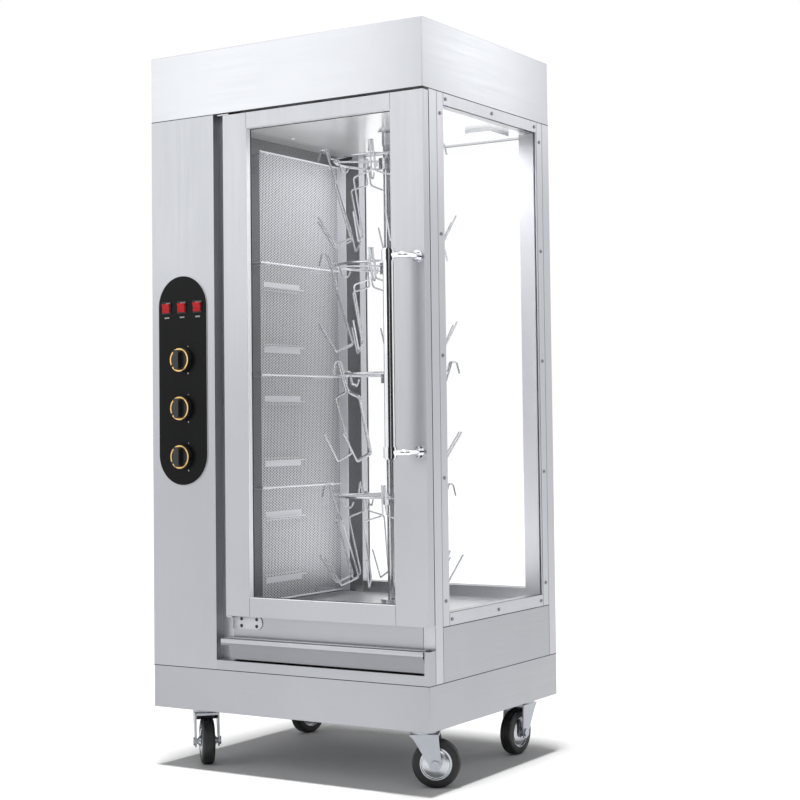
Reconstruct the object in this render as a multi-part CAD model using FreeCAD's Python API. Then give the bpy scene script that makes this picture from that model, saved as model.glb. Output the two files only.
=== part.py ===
import FreeCAD, Part
import math
import os
from FreeCAD import Vector

# Gas chicken rotisserie on castors: a burner column on the left, and a glazed roasting
# chamber on the right with a turning spindle, ring racks and hanging meat forks.
# Millimetres. +X is the viewer's right, +Y runs to the back, +Z is up, and the floor is Z = 0.
# The origin is the middle of the whole object's footprint.

os.makedirs("parts", exist_ok=True)

# Overall sizes
WIDTH = 720.0
DEPTH = 550.0
CASTOR_HEIGHT = 130.0
PLINTH_HEIGHT = 92.0
BODY_HEIGHT = 1213.0
HOOD_HEIGHT = 145.0
SHEET = 1.5
PLATE = 3.0
SEAM = 1.0

# Handle, which sets how far the object reaches forward
HANDLE_LENGTH = 424.0
HANDLE_END_INSET = 14.0
HANDLE_PITCH = HANDLE_LENGTH - 2 * HANDLE_END_INSET
HANDLE_RADIUS = 11.0
HANDLE_STANDOFF = 56.0
HANDLE_SIDE_OFFSET = 36.0
HANDLE_FOOT_INSET = 15.0
HANDLE_FOOT_RADIUS = 12.0
HANDLE_FOOT_THICKNESS = 5.0
HANDLE_ARM_RADIUS = 6.5
HANDLE_COLLAR_RADIUS = 13.5
HANDLE_COLLAR_LENGTH = 22.0

# Gas inlet, which sets how far the object reaches back
INLET_THREAD_RADIUS = 10.48
INLET_THREAD_LENGTH = 20.0
INLET_HEX_RADIUS = 14.0
INLET_HEX_LENGTH = 14.0
INLET_FLANGE_RADIUS = 20.0
INLET_FLANGE_LENGTH = 4.0

HANDLE_REACH = HANDLE_STANDOFF + HANDLE_COLLAR_RADIUS
INLET_REACH = INLET_FLANGE_LENGTH + INLET_HEX_LENGTH + INLET_THREAD_LENGTH

# Main planes
LEFT = -WIDTH / 2
RIGHT = WIDTH / 2
FRONT = (HANDLE_REACH - INLET_REACH - DEPTH) / 2
BACK = FRONT + DEPTH
PLINTH_BOTTOM = CASTOR_HEIGHT
BODY_BOTTOM = PLINTH_BOTTOM + PLINTH_HEIGHT
BODY_TOP = BODY_BOTTOM + BODY_HEIGHT
HOOD_TOP = BODY_TOP + HOOD_HEIGHT

# Body frame behind the door
BODY_SETBACK = 25.0
COLUMN_WIDTH = 177.0
HINGE_RECESS = 27.0
MID_POST_WIDTH = 28.0
CORNER_POST_WIDTH = 28.0
FRONT_POST_DEPTH = 30.0
REAR_POST_DEPTH = 32.0
FRAME_WALL = 1.5
RAIL_DEPTH = 20.0
BODY_Y = FRONT + BODY_SETBACK
COLUMN_RIGHT = LEFT + COLUMN_WIDTH
MID_POST_RIGHT = COLUMN_RIGHT + MID_POST_WIDTH
FRONT_POST_LEFT = RIGHT - CORNER_POST_WIDTH
SIDE_FRONT = BODY_Y + FRONT_POST_DEPTH
SIDE_BACK = BACK - REAR_POST_DEPTH

# Lower front: bottom rail, drip tray front, panel under the door
BOTTOM_RAIL_HEIGHT = 21.0
TRAY_FRONT_HEIGHT = 43.0
TRAY_FRONT_GAP = 4.0
TRAY_TOP_GAP = 3.0
UNDER_DOOR_HEIGHT = 47.0
CHEEK_WIDTH = 12.0
RAIL_TOP = BODY_BOTTOM + BOTTOM_RAIL_HEIGHT
TRAY_FRONT_BOTTOM = RAIL_TOP + TRAY_FRONT_GAP
TRAY_FRONT_TOP = TRAY_FRONT_BOTTOM + TRAY_FRONT_HEIGHT
UNDER_DOOR_BOTTOM = TRAY_FRONT_TOP + TRAY_TOP_GAP
DOOR_BOTTOM = UNDER_DOOR_BOTTOM + UNDER_DOOR_HEIGHT

# Roasting chamber
CEILING_DROP = 25.0
FLOOR_STEP = 5.0
BURNER_WALL_SETBACK = 22.0
FLOOR_TOP = DOOR_BOTTOM + FLOOR_STEP
CEILING_BOTTOM = BODY_TOP - CEILING_DROP
WALL_X = COLUMN_RIGHT - BURNER_WALL_SETBACK
WALL_BACK_X = WALL_X - SHEET

# Windows
TRIM_WIDTH = 26.0
TRIM_THICKNESS = 2.5
PANE_THICKNESS = 5.0
PANE_LAP = 9.0
SIDE_STOP_DEPTH = 20.0
SIDE_SILL_HEIGHT = 113.0
SIDE_SILL = BODY_BOTTOM + SIDE_SILL_HEIGHT
SIDE_OPENING_BOTTOM = SIDE_SILL + TRIM_WIDTH
SIDE_OPENING_TOP = CEILING_BOTTOM
SIDE_OPENING_FRONT = SIDE_FRONT + TRIM_WIDTH
SIDE_OPENING_BACK = SIDE_BACK - TRIM_WIDTH
SIDE_STOP_RIGHT = RIGHT - TRIM_THICKNESS - PANE_THICKNESS
SIDE_STOP_LEFT = SIDE_STOP_RIGHT - SIDE_STOP_DEPTH
REAR_LEFT_MARGIN = 38.0
REAR_TRIM_WIDTH = 20.0
REAR_POST_WIDTH = 38.0
REAR_SILL = FLOOR_TOP
REAR_TRIM_LEFT = COLUMN_RIGHT - BURNER_WALL_SETBACK + REAR_LEFT_MARGIN
REAR_TRIM_RIGHT = RIGHT - REAR_POST_WIDTH
REAR_OPENING_LEFT = REAR_TRIM_LEFT + REAR_TRIM_WIDTH
REAR_OPENING_RIGHT = REAR_TRIM_RIGHT - REAR_TRIM_WIDTH
REAR_OPENING_BOTTOM = REAR_SILL + TRIM_WIDTH
REAR_OPENING_TOP = CEILING_BOTTOM
REAR_STOP_BACK = BACK - TRIM_THICKNESS - PANE_THICKNESS

# Screws
SCREW_HEAD_RADIUS = 4.0
SCREW_HEAD_HEIGHT = 1.5
SCREW_RADIUS = 2.0
SCREW_LENGTH = 12.0
VERTICAL_SCREWS = 5
HORIZONTAL_SCREWS = 3
SCREW_END_INSET = 20.0

# Door
DOOR_THICKNESS = 22.5
DOOR_HEAD_GAP = 5.0
LEFT_STILE = 64.0
RIGHT_STILE = 79.0
TOP_RAIL = 34.0
BOTTOM_RAIL = 40.0
DOOR_WALL = 1.2
REBATE_WIDTH = 12.0
REBATE_DEPTH = 8.0
DOOR_PANE = 5.0
PANE_EDGE_GAP = 1.0
GLAZING_SEAL = 1.5
GLAZING_SIGHT = 3.0
DOOR_SEAL_WIDTH = 10.0
DOOR_SEAL_INSET = 6.0
DOOR_SEAL_GAP = 0.4
DOOR_MAX_ANGLE = 120.0
DOOR_LEFT = COLUMN_RIGHT + HINGE_RECESS
DOOR_RIGHT = RIGHT
DOOR_TOP = BODY_TOP - DOOR_HEAD_GAP
DOOR_BACK = FRONT + DOOR_THICKNESS
DOOR_OPEN_LEFT = DOOR_LEFT + LEFT_STILE
DOOR_OPEN_RIGHT = DOOR_RIGHT - RIGHT_STILE
DOOR_OPEN_BOTTOM = DOOR_BOTTOM + BOTTOM_RAIL
DOOR_OPEN_TOP = DOOR_TOP - TOP_RAIL
HANDLE_RISE = 5.0
HANDLE_CENTRE_HEIGHT = (DOOR_BOTTOM + DOOR_TOP) / 2 + HANDLE_RISE

# Hinges
PIVOT_INSET = 7.0
PIVOT_RADIUS = 4.0
PIVOT_CLEARANCE = 0.06
PIVOT_ENGAGEMENT = 10.0
HINGE_PLATE = 2.0
HINGE_LEAF = 3.0
HINGE_LEAF_GAP = 0.5
HINGE_PLATE_HEIGHT = 30.0
LOWER_HINGE_LENGTH = 80.0
HINGE_SCREW_INSET = 24.0
UPPER_HINGE_LENGTH = 16.0
UPPER_HINGE_HEIGHT = 50.0
PIVOT_X = DOOR_LEFT + PIVOT_INSET
PIVOT_Y = FRONT + DOOR_THICKNESS / 2

# Door catches
CATCH_LENGTH = 44.0
CATCH_HEIGHT = 14.0
CATCH_DEPTH = 12.0
CATCH_INSET = 30.0

# Drip tray
TRAY_LIP_HEIGHT = 13.0
TRAY_LIP_REACH = 3.0
TRAY_LIP_OVERHANG = 23.0
TRAY_FACE_SLANT = 6.0
TRAY_FRONT_DEPTH = 24.0
TRAY_LENGTH = 430.0
TRAY_WALL = 1.2
TRAY_FLANGE = 10.0
TRAY_PAN_DEPTH = 36.0
TRAY_SIDE_GAP = 3.0
TRAY_TRAVEL = 320.0
TRAY_RUNNING_GAP = 0.3
RUNNER_LEDGE = 14.0
RUNNER_THICKNESS = 2.0
TRAY_RIGHT = FRONT_POST_LEFT - TRAY_SIDE_GAP - RUNNER_THICKNESS
TRAY_LEFT = MID_POST_RIGHT + TRAY_SIDE_GAP + RUNNER_THICKNESS
TRAY_FACE_RIGHT = RIGHT - CHEEK_WIDTH - TRAY_SIDE_GAP / 2
TRAY_FACE_GAP = 9.0
TRAY_FACE_LEFT = MID_POST_RIGHT + TRAY_FACE_GAP

# Chamber floor, guard screen and burners
DRAIN_LENGTH = 70.0
DRAIN_WIDTH = 14.0
DRAIN_OFFSET = 60.0
GUARD_STANDOFF = 55.0
GUARD_SHEET = 1.0
GUARD_LENGTH = 307.0
GUARD_FRONT_OFFSET = 118.0
GUARD_FLANGE = 24.0
GUARD_BOTTOM_GAP = 12.0
GUARD_TOP_GAP = 40.0
GUARD_SECTION_COUNT = 4
GUARD_RIB_RADIUS = 2.0
GUARD_POST_RADIUS = 4.0
GUARD_POST_INSET = 30.0
BURNER_WIDTH = 136.0
BURNER_HEIGHT = 127.0
BURNER_DEPTH = 56.0
BURNER_RISES = (125.0, 392.0, 655.0)
BURNER_LEVELS = tuple(FLOOR_TOP + rise for rise in BURNER_RISES)
BURNER_WALL = 1.5
BURNER_TILE = 13.0
BURNER_CLEARANCE = 0.5
BURNER_FLANGE = 10.0
BRACKET_REACH = 16.0
BRACKET_HEIGHT = 14.0
BRACKET_GAP = 4.0

# Ceiling lamp
LAMP_WIDTH = 64.0
LAMP_LENGTH = 88.0
LAMP_HEIGHT = 34.0
LAMP_DROP = 9.0
LAMP_WALL = 1.5
LAMP_COVER = 3.0
LAMP_SIDE_GAP = 22.5
LAMP_X = SIDE_STOP_LEFT - LAMP_SIDE_GAP - LAMP_WIDTH / 2
LAMP_Y = 133.0
LAMP_FLANGE = 6.0

# Spindle, racks and forks
SPINDLE_OFFSET = -6.25
SPINDLE_X = (WALL_X + GUARD_STANDOFF + SIDE_STOP_RIGHT) / 2 + SPINDLE_OFFSET
SPINDLE_RADIUS = 10.0
SPINDLE_BORE = 7.0
SPINDLE_FLOOR_GAP = 4.0
BEARING_RADIUS = 25.0
BEARING_HEIGHT = 16.0
RUNNING_CLEARANCE = 0.06
COUPLING_RADIUS = 12.5
COUPLING_LENGTH = 30.0
COUPLING_CEILING_GAP = 5.0
DRIVE_SHAFT_RADIUS = 6.0
BUSH_RADIUS = 17.0
BUSH_LENGTH = 10.0
RACK_RISES = (245.0, 516.0, 760.0, 996.0)
RACK_LEVELS = tuple(FLOOR_TOP + rise for rise in RACK_RISES)
RACK_RADIUS = 120.0
RACK_ROD_RADIUS = 2.75
RACK_SPOKES = 4
RACK_SPOKE_ANGLE = 31.0
RACK_HUB_RADIUS = 20.0
RACK_HUB_HEIGHT = 26.0
RACK_HUB_DROP = 20.0
FORK_COUNT = 5
FORK_ANGLES = (224.0, 35.0, 287.0, 288.0)
FORK_WIRE_RADIUS = 2.0
FORK_NECK_SPREAD = 4.05
FORK_SHOULDER_SPREAD = 46.0
FORK_FOOT_SPREAD = 36.0
FORK_TOP_RISE = 28.0
FORK_TOP_REACH = 20.0
FORK_NECK_DROP = 38.0
FORK_SHOULDER_DROP = 51.0
FORK_FOOT_DROP = 176.0
FORK_FOOT_SETBACK = 38.0
FORK_VALLEY_DROP = 193.0
FORK_TIP_DROP = 131.0
FORK_TIP_REACH = 37.0
FORK_NECK_SETBACK = 1.0
FORK_SHOULDER_SETBACK = 2.0
HOOK_TIP_REACH = 36.0
HOOK_TOP_REACH = 30.0
HOOK_TOP_RISE = 26.0
HOOK_TOP_LENGTH = 15.0
HOOK_SEAT_REACH = 9.0
HOOK_SEAT_SETBACK = 8.0
HOOK_DROP = 26.0
HOOK_BACK_DROP = 22.0
HOOK_BACK_SETBACK = 16.0
HOOK_LOW_SETBACK = 28.0
HOOK_END_SETBACK = 34.0
HOOK_END_DROP = 12.0
FORK_NECK_BEND = 9.0
FORK_SHOULDER_BEND = 8.0
FORK_FOOT_BEND = 5.0
FORK_TINE_BEND = 3.5
FORK_HOOK_BEND = 4.5
FORK_SEAT_GAP = 0.05

# Gear motor
GEARBOX_SIZE = (96.0, 84.0, 52.0)
MOTOR_RADIUS = 34.0
MOTOR_LENGTH = 78.0
MOTOR_PLATE = 3.0
MOTOR_PLATE_MARGIN = 14.0

# Control fascia, knobs and rocker switches
PANEL_CENTRE_INSET = 88.0
FASCIA_WIDTH = 134.0
FASCIA_HEIGHT = 462.0
FASCIA_THICKNESS = 2.5
KNOB_PITCH = 107.0
KNOB_CENTRE_HEIGHT = 790.0
FASCIA_RISE = 62.0
FASCIA_CENTRE_HEIGHT = KNOB_CENTRE_HEIGHT + FASCIA_RISE
KNOB_RADIUS = 27.0
KNOB_SKIRT = 11.0
KNOB_REACH = 23.0
KNOB_GAP = 0.8
KNOB_GRIP_WIDTH = 13.0
KNOB_GRIP_LENGTH = 44.0
KNOB_HOLE_RADIUS = 7.0
STEM_RADIUS = 4.0
STEM_SOCKET = 12.0
KNOB_MAX_ANGLE = 210.0
SWITCH_PITCH = 44.0
SWITCH_RISE = 117.0
SWITCH_HEIGHT = KNOB_CENTRE_HEIGHT + KNOB_PITCH + SWITCH_RISE
SWITCH_FLANGE = (25.0, 27.0)
SWITCH_BODY = (22.6, 24.6)
SWITCH_FLANGE_THICKNESS = 1.5
SWITCH_DEPTH = 26.0
SWITCH_POCKET_DEPTH = 16.0
ROCKER_SIZE = (19.0, 20.0)
ROCKER_POCKET = (19.8, 22.6)
ROCKER_PIVOT_DEPTH = 6.0
ROCKER_PROUD = 4.5
ROCKER_VALLEY = 2.4
ROCKER_TILT = 6.0
ROCKER_PIN_RADIUS = 1.5
PANEL_X = LEFT + PANEL_CENTRE_INSET

# Gas line
VALVE_WIDTH = 28.0
VALVE_HEIGHT = 32.0
VALVE_LENGTH = 42.0
VALVE_GAP = 1.0
VALVE_STUB_RADIUS = 7.0
VALVE_STUB_LENGTH = 8.0
MANIFOLD_RADIUS = 10.5
MANIFOLD_WALL = 2.5
MANIFOLD_BEND = 30.0
MANIFOLD_END = 30.0
INLET_HEIGHT = 300.0
FEED_RADIUS = 4.0
FEED_BEND = 14.0
FEED_OFFSET = 19.0

# Ignition module and cable gland
IGNITION_SIZE = (38.0, 84.0, 60.0)
IGNITION_HEIGHT = 560.0
IGNITION_SETBACK = 330.0
GLAND_RADIUS = 11.0
GLAND_BORE = 4.5
GLAND_REACH = 18.0
GLAND_INSIDE = 10.0
GLAND_INSET = 40.0
GLAND_HEIGHT = 390.0

# Vents
VENT_WIDTH = 110.0
VENT_HEIGHT = 6.0
VENT_PITCH = 22.0
VENT_COUNT = 8
VENT_START = 900.0
FLUE_SLOT_LENGTH = 160.0
FLUE_SLOT_WIDTH = 10.0
FLUE_SLOT_PITCH = 24.0
FLUE_SLOT_COUNT = 5
FLUE_SLOT_START = 60.0

# Castors
CASTOR_SIDE_INSET = 72.0
CASTOR_FRONT_INSET = 90.0
CASTOR_REAR_INSET = 40.0
CASTOR_ANGLES = {
    "front_left": -45.0,
    "front_right": 26.0,
    "rear_left": 263.0,
    "rear_right": 269.0,
}
CASTOR_PLATE_SIZE = (92.0, 70.0)
CASTOR_PLATE_THICKNESS = 3.0
CASTOR_BOLT_INSET = 11.0
CASTOR_BOLT_RADIUS = 6.5
CASTOR_BOLT_HEIGHT = 5.0
RACE_RADIUS = 27.0
RACE_HEIGHT = 15.0
SWIVEL_GAP = 0.3
KING_PIN_RADIUS = 6.0
KING_PIN_HEAD = 10.0
CROWN_HEIGHT = 5.0
CROWN_BACK = 26.0
CROWN_FRONT = 33.0
CROWN_WEB_HEIGHT = 20.0
CASTOR_TRAIL = 26.0
WHEEL_RADIUS = 50.0
WHEEL_WIDTH = 28.0
TYRE_DEPTH = 16.5
TYRE_ROUND = 7.0
WHEEL_WEB = 14.0
HUB_RADIUS = 13.0
HUB_SIDE_GAP = 1.5
LEG_WHEEL_GAP = 10.0
LEG_THICKNESS = 3.0
LEG_FOOT_RADIUS = 13.0
LEG_WAIST_BACK = 16.0
LEG_WAIST_DROP = 14.0
AXLE_RADIUS = 6.0
AXLE_HEAD_RADIUS = 9.0
AXLE_HEAD_LENGTH = 3.5

# Names for the positions of the castors, as signs along X and Y
CASTOR_CORNERS = {
    "front_left": (-1, -1),
    "front_right": (1, -1),
    "rear_left": (-1, 1),
    "rear_right": (1, 1),
}
CENTRE_Y = (FRONT + BACK) / 2
SPINDLE_Y = CENTRE_Y
X_AXIS = Vector(1, 0, 0)
Y_AXIS = Vector(0, 1, 0)
Z_AXIS = Vector(0, 0, 1)


def block(x0, x1, y0, y1, z0, z1):
    """A solid block between two corners."""
    return Part.makeBox(x1 - x0, y1 - y0, z1 - z0, Vector(x0, y0, z0))


def closed_box(x0, x1, y0, y1, z0, z1, wall):
    """A welded sheet box, closed on all six sides."""
    inside = block(x0 + wall, x1 - wall, y0 + wall, y1 - wall, z0 + wall, z1 - wall)
    return block(x0, x1, y0, y1, z0, z1).cut(inside)


def square_tube(x0, x1, y0, y1, z0, z1, wall, along):
    """A rectangular tube with both ends open along the named axis."""
    inset = {"x": (0, wall, wall), "y": (wall, 0, wall), "z": (wall, wall, 0)}[along]
    inside = block(x0 + inset[0], x1 - inset[0], y0 + inset[1], y1 - inset[1],
                   z0 + inset[2], z1 - inset[2])
    return block(x0, x1, y0, y1, z0, z1).cut(inside)


def rod_between(start, end, radius):
    """A straight round bar from one point to another."""
    run = end.sub(start)
    return Part.makeCylinder(radius, run.Length, start, run)


def ring_between(start, end, outer, inner):
    """A round tube or collar from one point to another."""
    return rod_between(start, end, outer).cut(rod_between(start, end, inner))


def bent_rod(points, bends, radius):
    """A round wire or pipe along straight runs that are joined by tangent arcs."""
    edges = []
    start = points[0]
    for index, bend in enumerate(bends, 1):
        corner = points[index]
        back = points[index - 1].sub(corner).normalize()
        ahead = points[index + 1].sub(corner).normalize()
        half_angle = back.getAngle(ahead) / 2
        reach = bend / math.tan(half_angle)
        middle = back.add(ahead).normalize()
        first = corner.add(Vector(back).multiply(reach))
        last = corner.add(Vector(ahead).multiply(reach))
        crown = corner.add(middle.multiply(bend / math.sin(half_angle) - bend))
        edges.append(Part.LineSegment(start, first).toShape())
        edges.append(Part.Arc(first, crown, last).toShape())
        start = last
    edges.append(Part.LineSegment(start, points[-1]).toShape())
    heading = points[1].sub(points[0])
    circle = Part.Wire(Part.Circle(points[0], heading, radius).toShape())
    return Part.Wire(edges).makePipeShell([circle], True, False)


def prism(points, run):
    """A flat outline, swept along a straight run."""
    return Part.Face(Part.makePolygon(points + [points[0]])).extrude(run)


def obround(centre_x, centre_z, width, height, y0, y1):
    """An upright plate with semicircular ends, facing forward."""
    radius = width / 2
    straight = height / 2 - radius
    depth = y1 - y0
    plate = block(centre_x - radius, centre_x + radius, y0, y1,
                  centre_z - straight, centre_z + straight)
    for end in (-straight, straight):
        plate = plate.fuse(Part.makeCylinder(radius, depth, Vector(centre_x, y0, centre_z + end),
                                             Y_AXIS))
    return plate.removeSplitter()


def fuse_all(solids):
    """One solid from several that meet or overlap."""
    return solids[0].multiFuse(solids[1:]).removeSplitter()


def save(node, solids):
    """Writes one node, which may hold several separate solids."""
    shape = solids[0] if len(solids) == 1 else Part.makeCompound(solids)
    shape.exportStep("parts/" + node + ".step")


def spread(low, high, count):
    """Evenly spaced places from low to high, both included."""
    step = (high - low) / (count - 1)
    return [low + step * index for index in range(count)]


# Plinth, hood and sheet panels

def base_plinth():
    return closed_box(LEFT, RIGHT, FRONT, BACK, PLINTH_BOTTOM, BODY_BOTTOM, SHEET)


def top_hood():
    hood = closed_box(LEFT, RIGHT, FRONT, BACK, BODY_TOP, HOOD_TOP, SHEET)
    mouth = block(WALL_X, SIDE_STOP_LEFT, BODY_Y + RAIL_DEPTH, SIDE_BACK,
                  BODY_TOP - SHEET, BODY_TOP + 2 * SHEET)
    hood = hood.cut(mouth)
    for index in range(FLUE_SLOT_COUNT):
        slot_y = BACK - FLUE_SLOT_START - FLUE_SLOT_PITCH * index
        hood = hood.cut(block(-FLUE_SLOT_LENGTH / 2, FLUE_SLOT_LENGTH / 2,
                              slot_y - FLUE_SLOT_WIDTH, slot_y, HOOD_TOP - 2 * SHEET,
                              HOOD_TOP + SHEET))
    return hood


def column_front_panel():
    face = block(LEFT, COLUMN_RIGHT, FRONT, FRONT + SHEET, BODY_BOTTOM, BODY_TOP)
    side_return = block(COLUMN_RIGHT - SHEET, COLUMN_RIGHT, FRONT + SHEET, BODY_Y,
                        BODY_BOTTOM, BODY_TOP)
    panel = fuse_all([face, side_return])
    for height in knob_heights():
        panel = panel.cut(rod_between(Vector(PANEL_X, FRONT - SHEET, height),
                                      Vector(PANEL_X, FRONT + 2 * SHEET, height),
                                      KNOB_HOLE_RADIUS))
    for place in switch_places():
        panel = panel.cut(switch_cutout(place, FRONT - SHEET, FRONT + 2 * SHEET))
    return panel


def left_side_panel():
    return block(LEFT, LEFT + SHEET, FRONT + SHEET, BACK - SHEET, BODY_BOTTOM, BODY_TOP)


def rear_panels():
    column = block(LEFT, REAR_TRIM_LEFT, BACK - SHEET, BACK, BODY_BOTTOM, BODY_TOP)
    vent_x = (LEFT + WALL_X) / 2
    for index in range(VENT_COUNT):
        low = VENT_START + VENT_PITCH * index
        column = column.cut(block(vent_x - VENT_WIDTH / 2, vent_x + VENT_WIDTH / 2,
                                  BACK - 2 * SHEET, BACK + SHEET, low, low + VENT_HEIGHT))
    column = column.cut(rod_between(Vector(PANEL_X, BACK - 2 * SHEET, INLET_HEIGHT),
                                    Vector(PANEL_X, BACK + SHEET, INLET_HEIGHT),
                                    MANIFOLD_RADIUS))
    gland_x = LEFT + GLAND_INSET
    column = column.cut(rod_between(Vector(gland_x, BACK - 2 * SHEET, GLAND_HEIGHT),
                                    Vector(gland_x, BACK + SHEET, GLAND_HEIGHT),
                                    GLAND_RADIUS - PLATE))
    lower = block(REAR_TRIM_LEFT, REAR_TRIM_RIGHT, BACK - SHEET, BACK, BODY_BOTTOM, REAR_SILL)
    return [column, lower]


def lower_side_panel():
    return block(RIGHT - SHEET, RIGHT, SIDE_FRONT, SIDE_BACK, BODY_BOTTOM, SIDE_SILL - SEAM)


def lower_front_panels():
    under_door = block(MID_POST_RIGHT, FRONT_POST_LEFT - SEAM, BODY_Y, BODY_Y + SHEET,
                       UNDER_DOOR_BOTTOM, FLOOR_TOP - SHEET)
    rail = square_tube(COLUMN_RIGHT, RIGHT - CHEEK_WIDTH, FRONT, BODY_Y, BODY_BOTTOM, RAIL_TOP,
                       SHEET, "x")
    cheek = square_tube(RIGHT - CHEEK_WIDTH, RIGHT, FRONT, BODY_Y, BODY_BOTTOM,
                        TRAY_FRONT_TOP + SEAM, SHEET, "z")
    return [under_door, rail, cheek]


# Frame of posts, rails and window stops

def cabinet_frame():
    wall = FRAME_WALL
    posts = [
        square_tube(FRONT_POST_LEFT, RIGHT, BODY_Y, SIDE_FRONT, BODY_BOTTOM, BODY_TOP, wall, "z"),
        square_tube(REAR_TRIM_RIGHT, RIGHT, SIDE_BACK, BACK, BODY_BOTTOM, BODY_TOP, wall, "z"),
        square_tube(COLUMN_RIGHT, MID_POST_RIGHT, BODY_Y, SIDE_FRONT, BODY_BOTTOM, BODY_TOP,
                    wall, "z"),
        square_tube(WALL_BACK_X - MID_POST_WIDTH, WALL_BACK_X, SIDE_BACK, BACK - SHEET,
                    BODY_BOTTOM, BODY_TOP, wall, "z"),
        square_tube(LEFT + SHEET, LEFT + SHEET + CORNER_POST_WIDTH, SIDE_BACK, BACK - SHEET,
                    BODY_BOTTOM, BODY_TOP, wall, "z"),
    ]
    front_rail = square_tube(MID_POST_RIGHT, FRONT_POST_LEFT, BODY_Y, BODY_Y + RAIL_DEPTH,
                             CEILING_BOTTOM, BODY_TOP, wall, "x")
    catch = catch_body(DOOR_RIGHT - RIGHT_STILE)
    front_rail = front_rail.cut(catch)
    return posts + [front_rail] + side_stops() + rear_stops()


def side_stops():
    """The bars that the side pane and its trims rest on."""
    wall = FRAME_WALL
    low, high = SIDE_STOP_LEFT, SIDE_STOP_RIGHT
    bars = [
        square_tube(low, high, SIDE_FRONT, SIDE_BACK, SIDE_SILL, SIDE_OPENING_BOTTOM, wall, "y"),
        square_tube(low, high, SIDE_FRONT, SIDE_BACK, SIDE_OPENING_TOP, BODY_TOP, wall, "y"),
        square_tube(low, high, SIDE_FRONT, SIDE_OPENING_FRONT, SIDE_OPENING_BOTTOM,
                    SIDE_OPENING_TOP, wall, "z"),
        square_tube(low, high, SIDE_OPENING_BACK, SIDE_BACK, SIDE_OPENING_BOTTOM,
                    SIDE_OPENING_TOP, wall, "z"),
    ]
    return [bore_screws(bar, side_trim_screws()) for bar in bars]


def rear_stops():
    """The bars that the rear pane and its trims rest on."""
    wall = FRAME_WALL
    low, high = SIDE_BACK, REAR_STOP_BACK
    bars = [
        square_tube(REAR_TRIM_LEFT, REAR_TRIM_RIGHT, low, high, REAR_SILL, REAR_OPENING_BOTTOM,
                    wall, "x"),
        square_tube(REAR_TRIM_LEFT, REAR_TRIM_RIGHT, low, high, REAR_OPENING_TOP, BODY_TOP,
                    wall, "x"),
        square_tube(REAR_TRIM_LEFT, REAR_OPENING_LEFT, low, high, REAR_OPENING_BOTTOM,
                    REAR_OPENING_TOP, wall, "z"),
        square_tube(REAR_OPENING_RIGHT, REAR_TRIM_RIGHT, low, high, REAR_OPENING_BOTTOM,
                    REAR_OPENING_TOP, wall, "z"),
    ]
    return [bore_screws(bar, rear_trim_screws()) for bar in bars]


# Screwed window trims and their panes

def screw(head, inward):
    """A countersunk screw: a flush head and a shank that points inward."""
    under_head = head.add(Vector(inward).multiply(SCREW_HEAD_HEIGHT))
    tip = head.add(Vector(inward).multiply(SCREW_LENGTH))
    return fuse_all([rod_between(head, under_head, SCREW_HEAD_RADIUS),
                     rod_between(under_head, tip, SCREW_RADIUS)])


def bore_screws(shape, screws):
    for fastener in screws:
        if shape.BoundBox.intersect(fastener.BoundBox):
            shape = shape.cut(fastener)
    return shape


def side_trim_screws():
    inward = Vector(-1, 0, 0)
    places = []
    for y in (SIDE_FRONT + TRIM_WIDTH / 2, SIDE_BACK - TRIM_WIDTH / 2):
        for z in spread(SIDE_SILL + 2 * TRIM_WIDTH, CEILING_BOTTOM - SCREW_END_INSET,
                        VERTICAL_SCREWS):
            places.append(Vector(RIGHT, y, z))
    for z in (SIDE_SILL + TRIM_WIDTH / 2, (CEILING_BOTTOM + BODY_TOP) / 2):
        for y in spread(SIDE_FRONT + TRIM_WIDTH + SCREW_END_INSET / 2,
                        SIDE_BACK - TRIM_WIDTH - SCREW_END_INSET / 2, HORIZONTAL_SCREWS):
            places.append(Vector(RIGHT, y, z))
    return [screw(place, inward) for place in places]


def rear_trim_screws():
    inward = Vector(0, -1, 0)
    places = []
    for x in (REAR_TRIM_LEFT + REAR_TRIM_WIDTH / 2, REAR_TRIM_RIGHT - REAR_TRIM_WIDTH / 2):
        for z in spread(REAR_SILL + 2 * TRIM_WIDTH, CEILING_BOTTOM - SCREW_END_INSET,
                        VERTICAL_SCREWS):
            places.append(Vector(x, BACK, z))
    for z in (REAR_SILL + TRIM_WIDTH / 2, (CEILING_BOTTOM + BODY_TOP) / 2):
        for x in spread(REAR_OPENING_LEFT + SCREW_END_INSET / 2,
                        REAR_OPENING_RIGHT - SCREW_END_INSET / 2, HORIZONTAL_SCREWS):
            places.append(Vector(x, BACK, z))
    return [screw(place, inward) for place in places]


def window_trims():
    low, high = RIGHT - TRIM_THICKNESS, RIGHT
    side = [
        block(low, high, SIDE_FRONT, SIDE_OPENING_FRONT, SIDE_SILL, BODY_TOP),
        block(low, high, SIDE_OPENING_BACK, SIDE_BACK, SIDE_SILL, BODY_TOP),
        block(low, high, SIDE_OPENING_FRONT, SIDE_OPENING_BACK, SIDE_SILL, SIDE_OPENING_BOTTOM),
        block(low, high, SIDE_OPENING_FRONT, SIDE_OPENING_BACK, SIDE_OPENING_TOP, BODY_TOP),
    ]
    low, high = BACK - TRIM_THICKNESS, BACK
    rear = [
        block(REAR_TRIM_LEFT, REAR_OPENING_LEFT, low, high, REAR_SILL, BODY_TOP),
        block(REAR_OPENING_RIGHT, REAR_TRIM_RIGHT, low, high, REAR_SILL, BODY_TOP),
        block(REAR_OPENING_LEFT, REAR_OPENING_RIGHT, low, high, REAR_SILL, REAR_OPENING_BOTTOM),
        block(REAR_OPENING_LEFT, REAR_OPENING_RIGHT, low, high, REAR_OPENING_TOP, BODY_TOP),
    ]
    return ([bore_screws(bar, side_trim_screws()) for bar in side]
            + [bore_screws(bar, rear_trim_screws()) for bar in rear])


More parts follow.
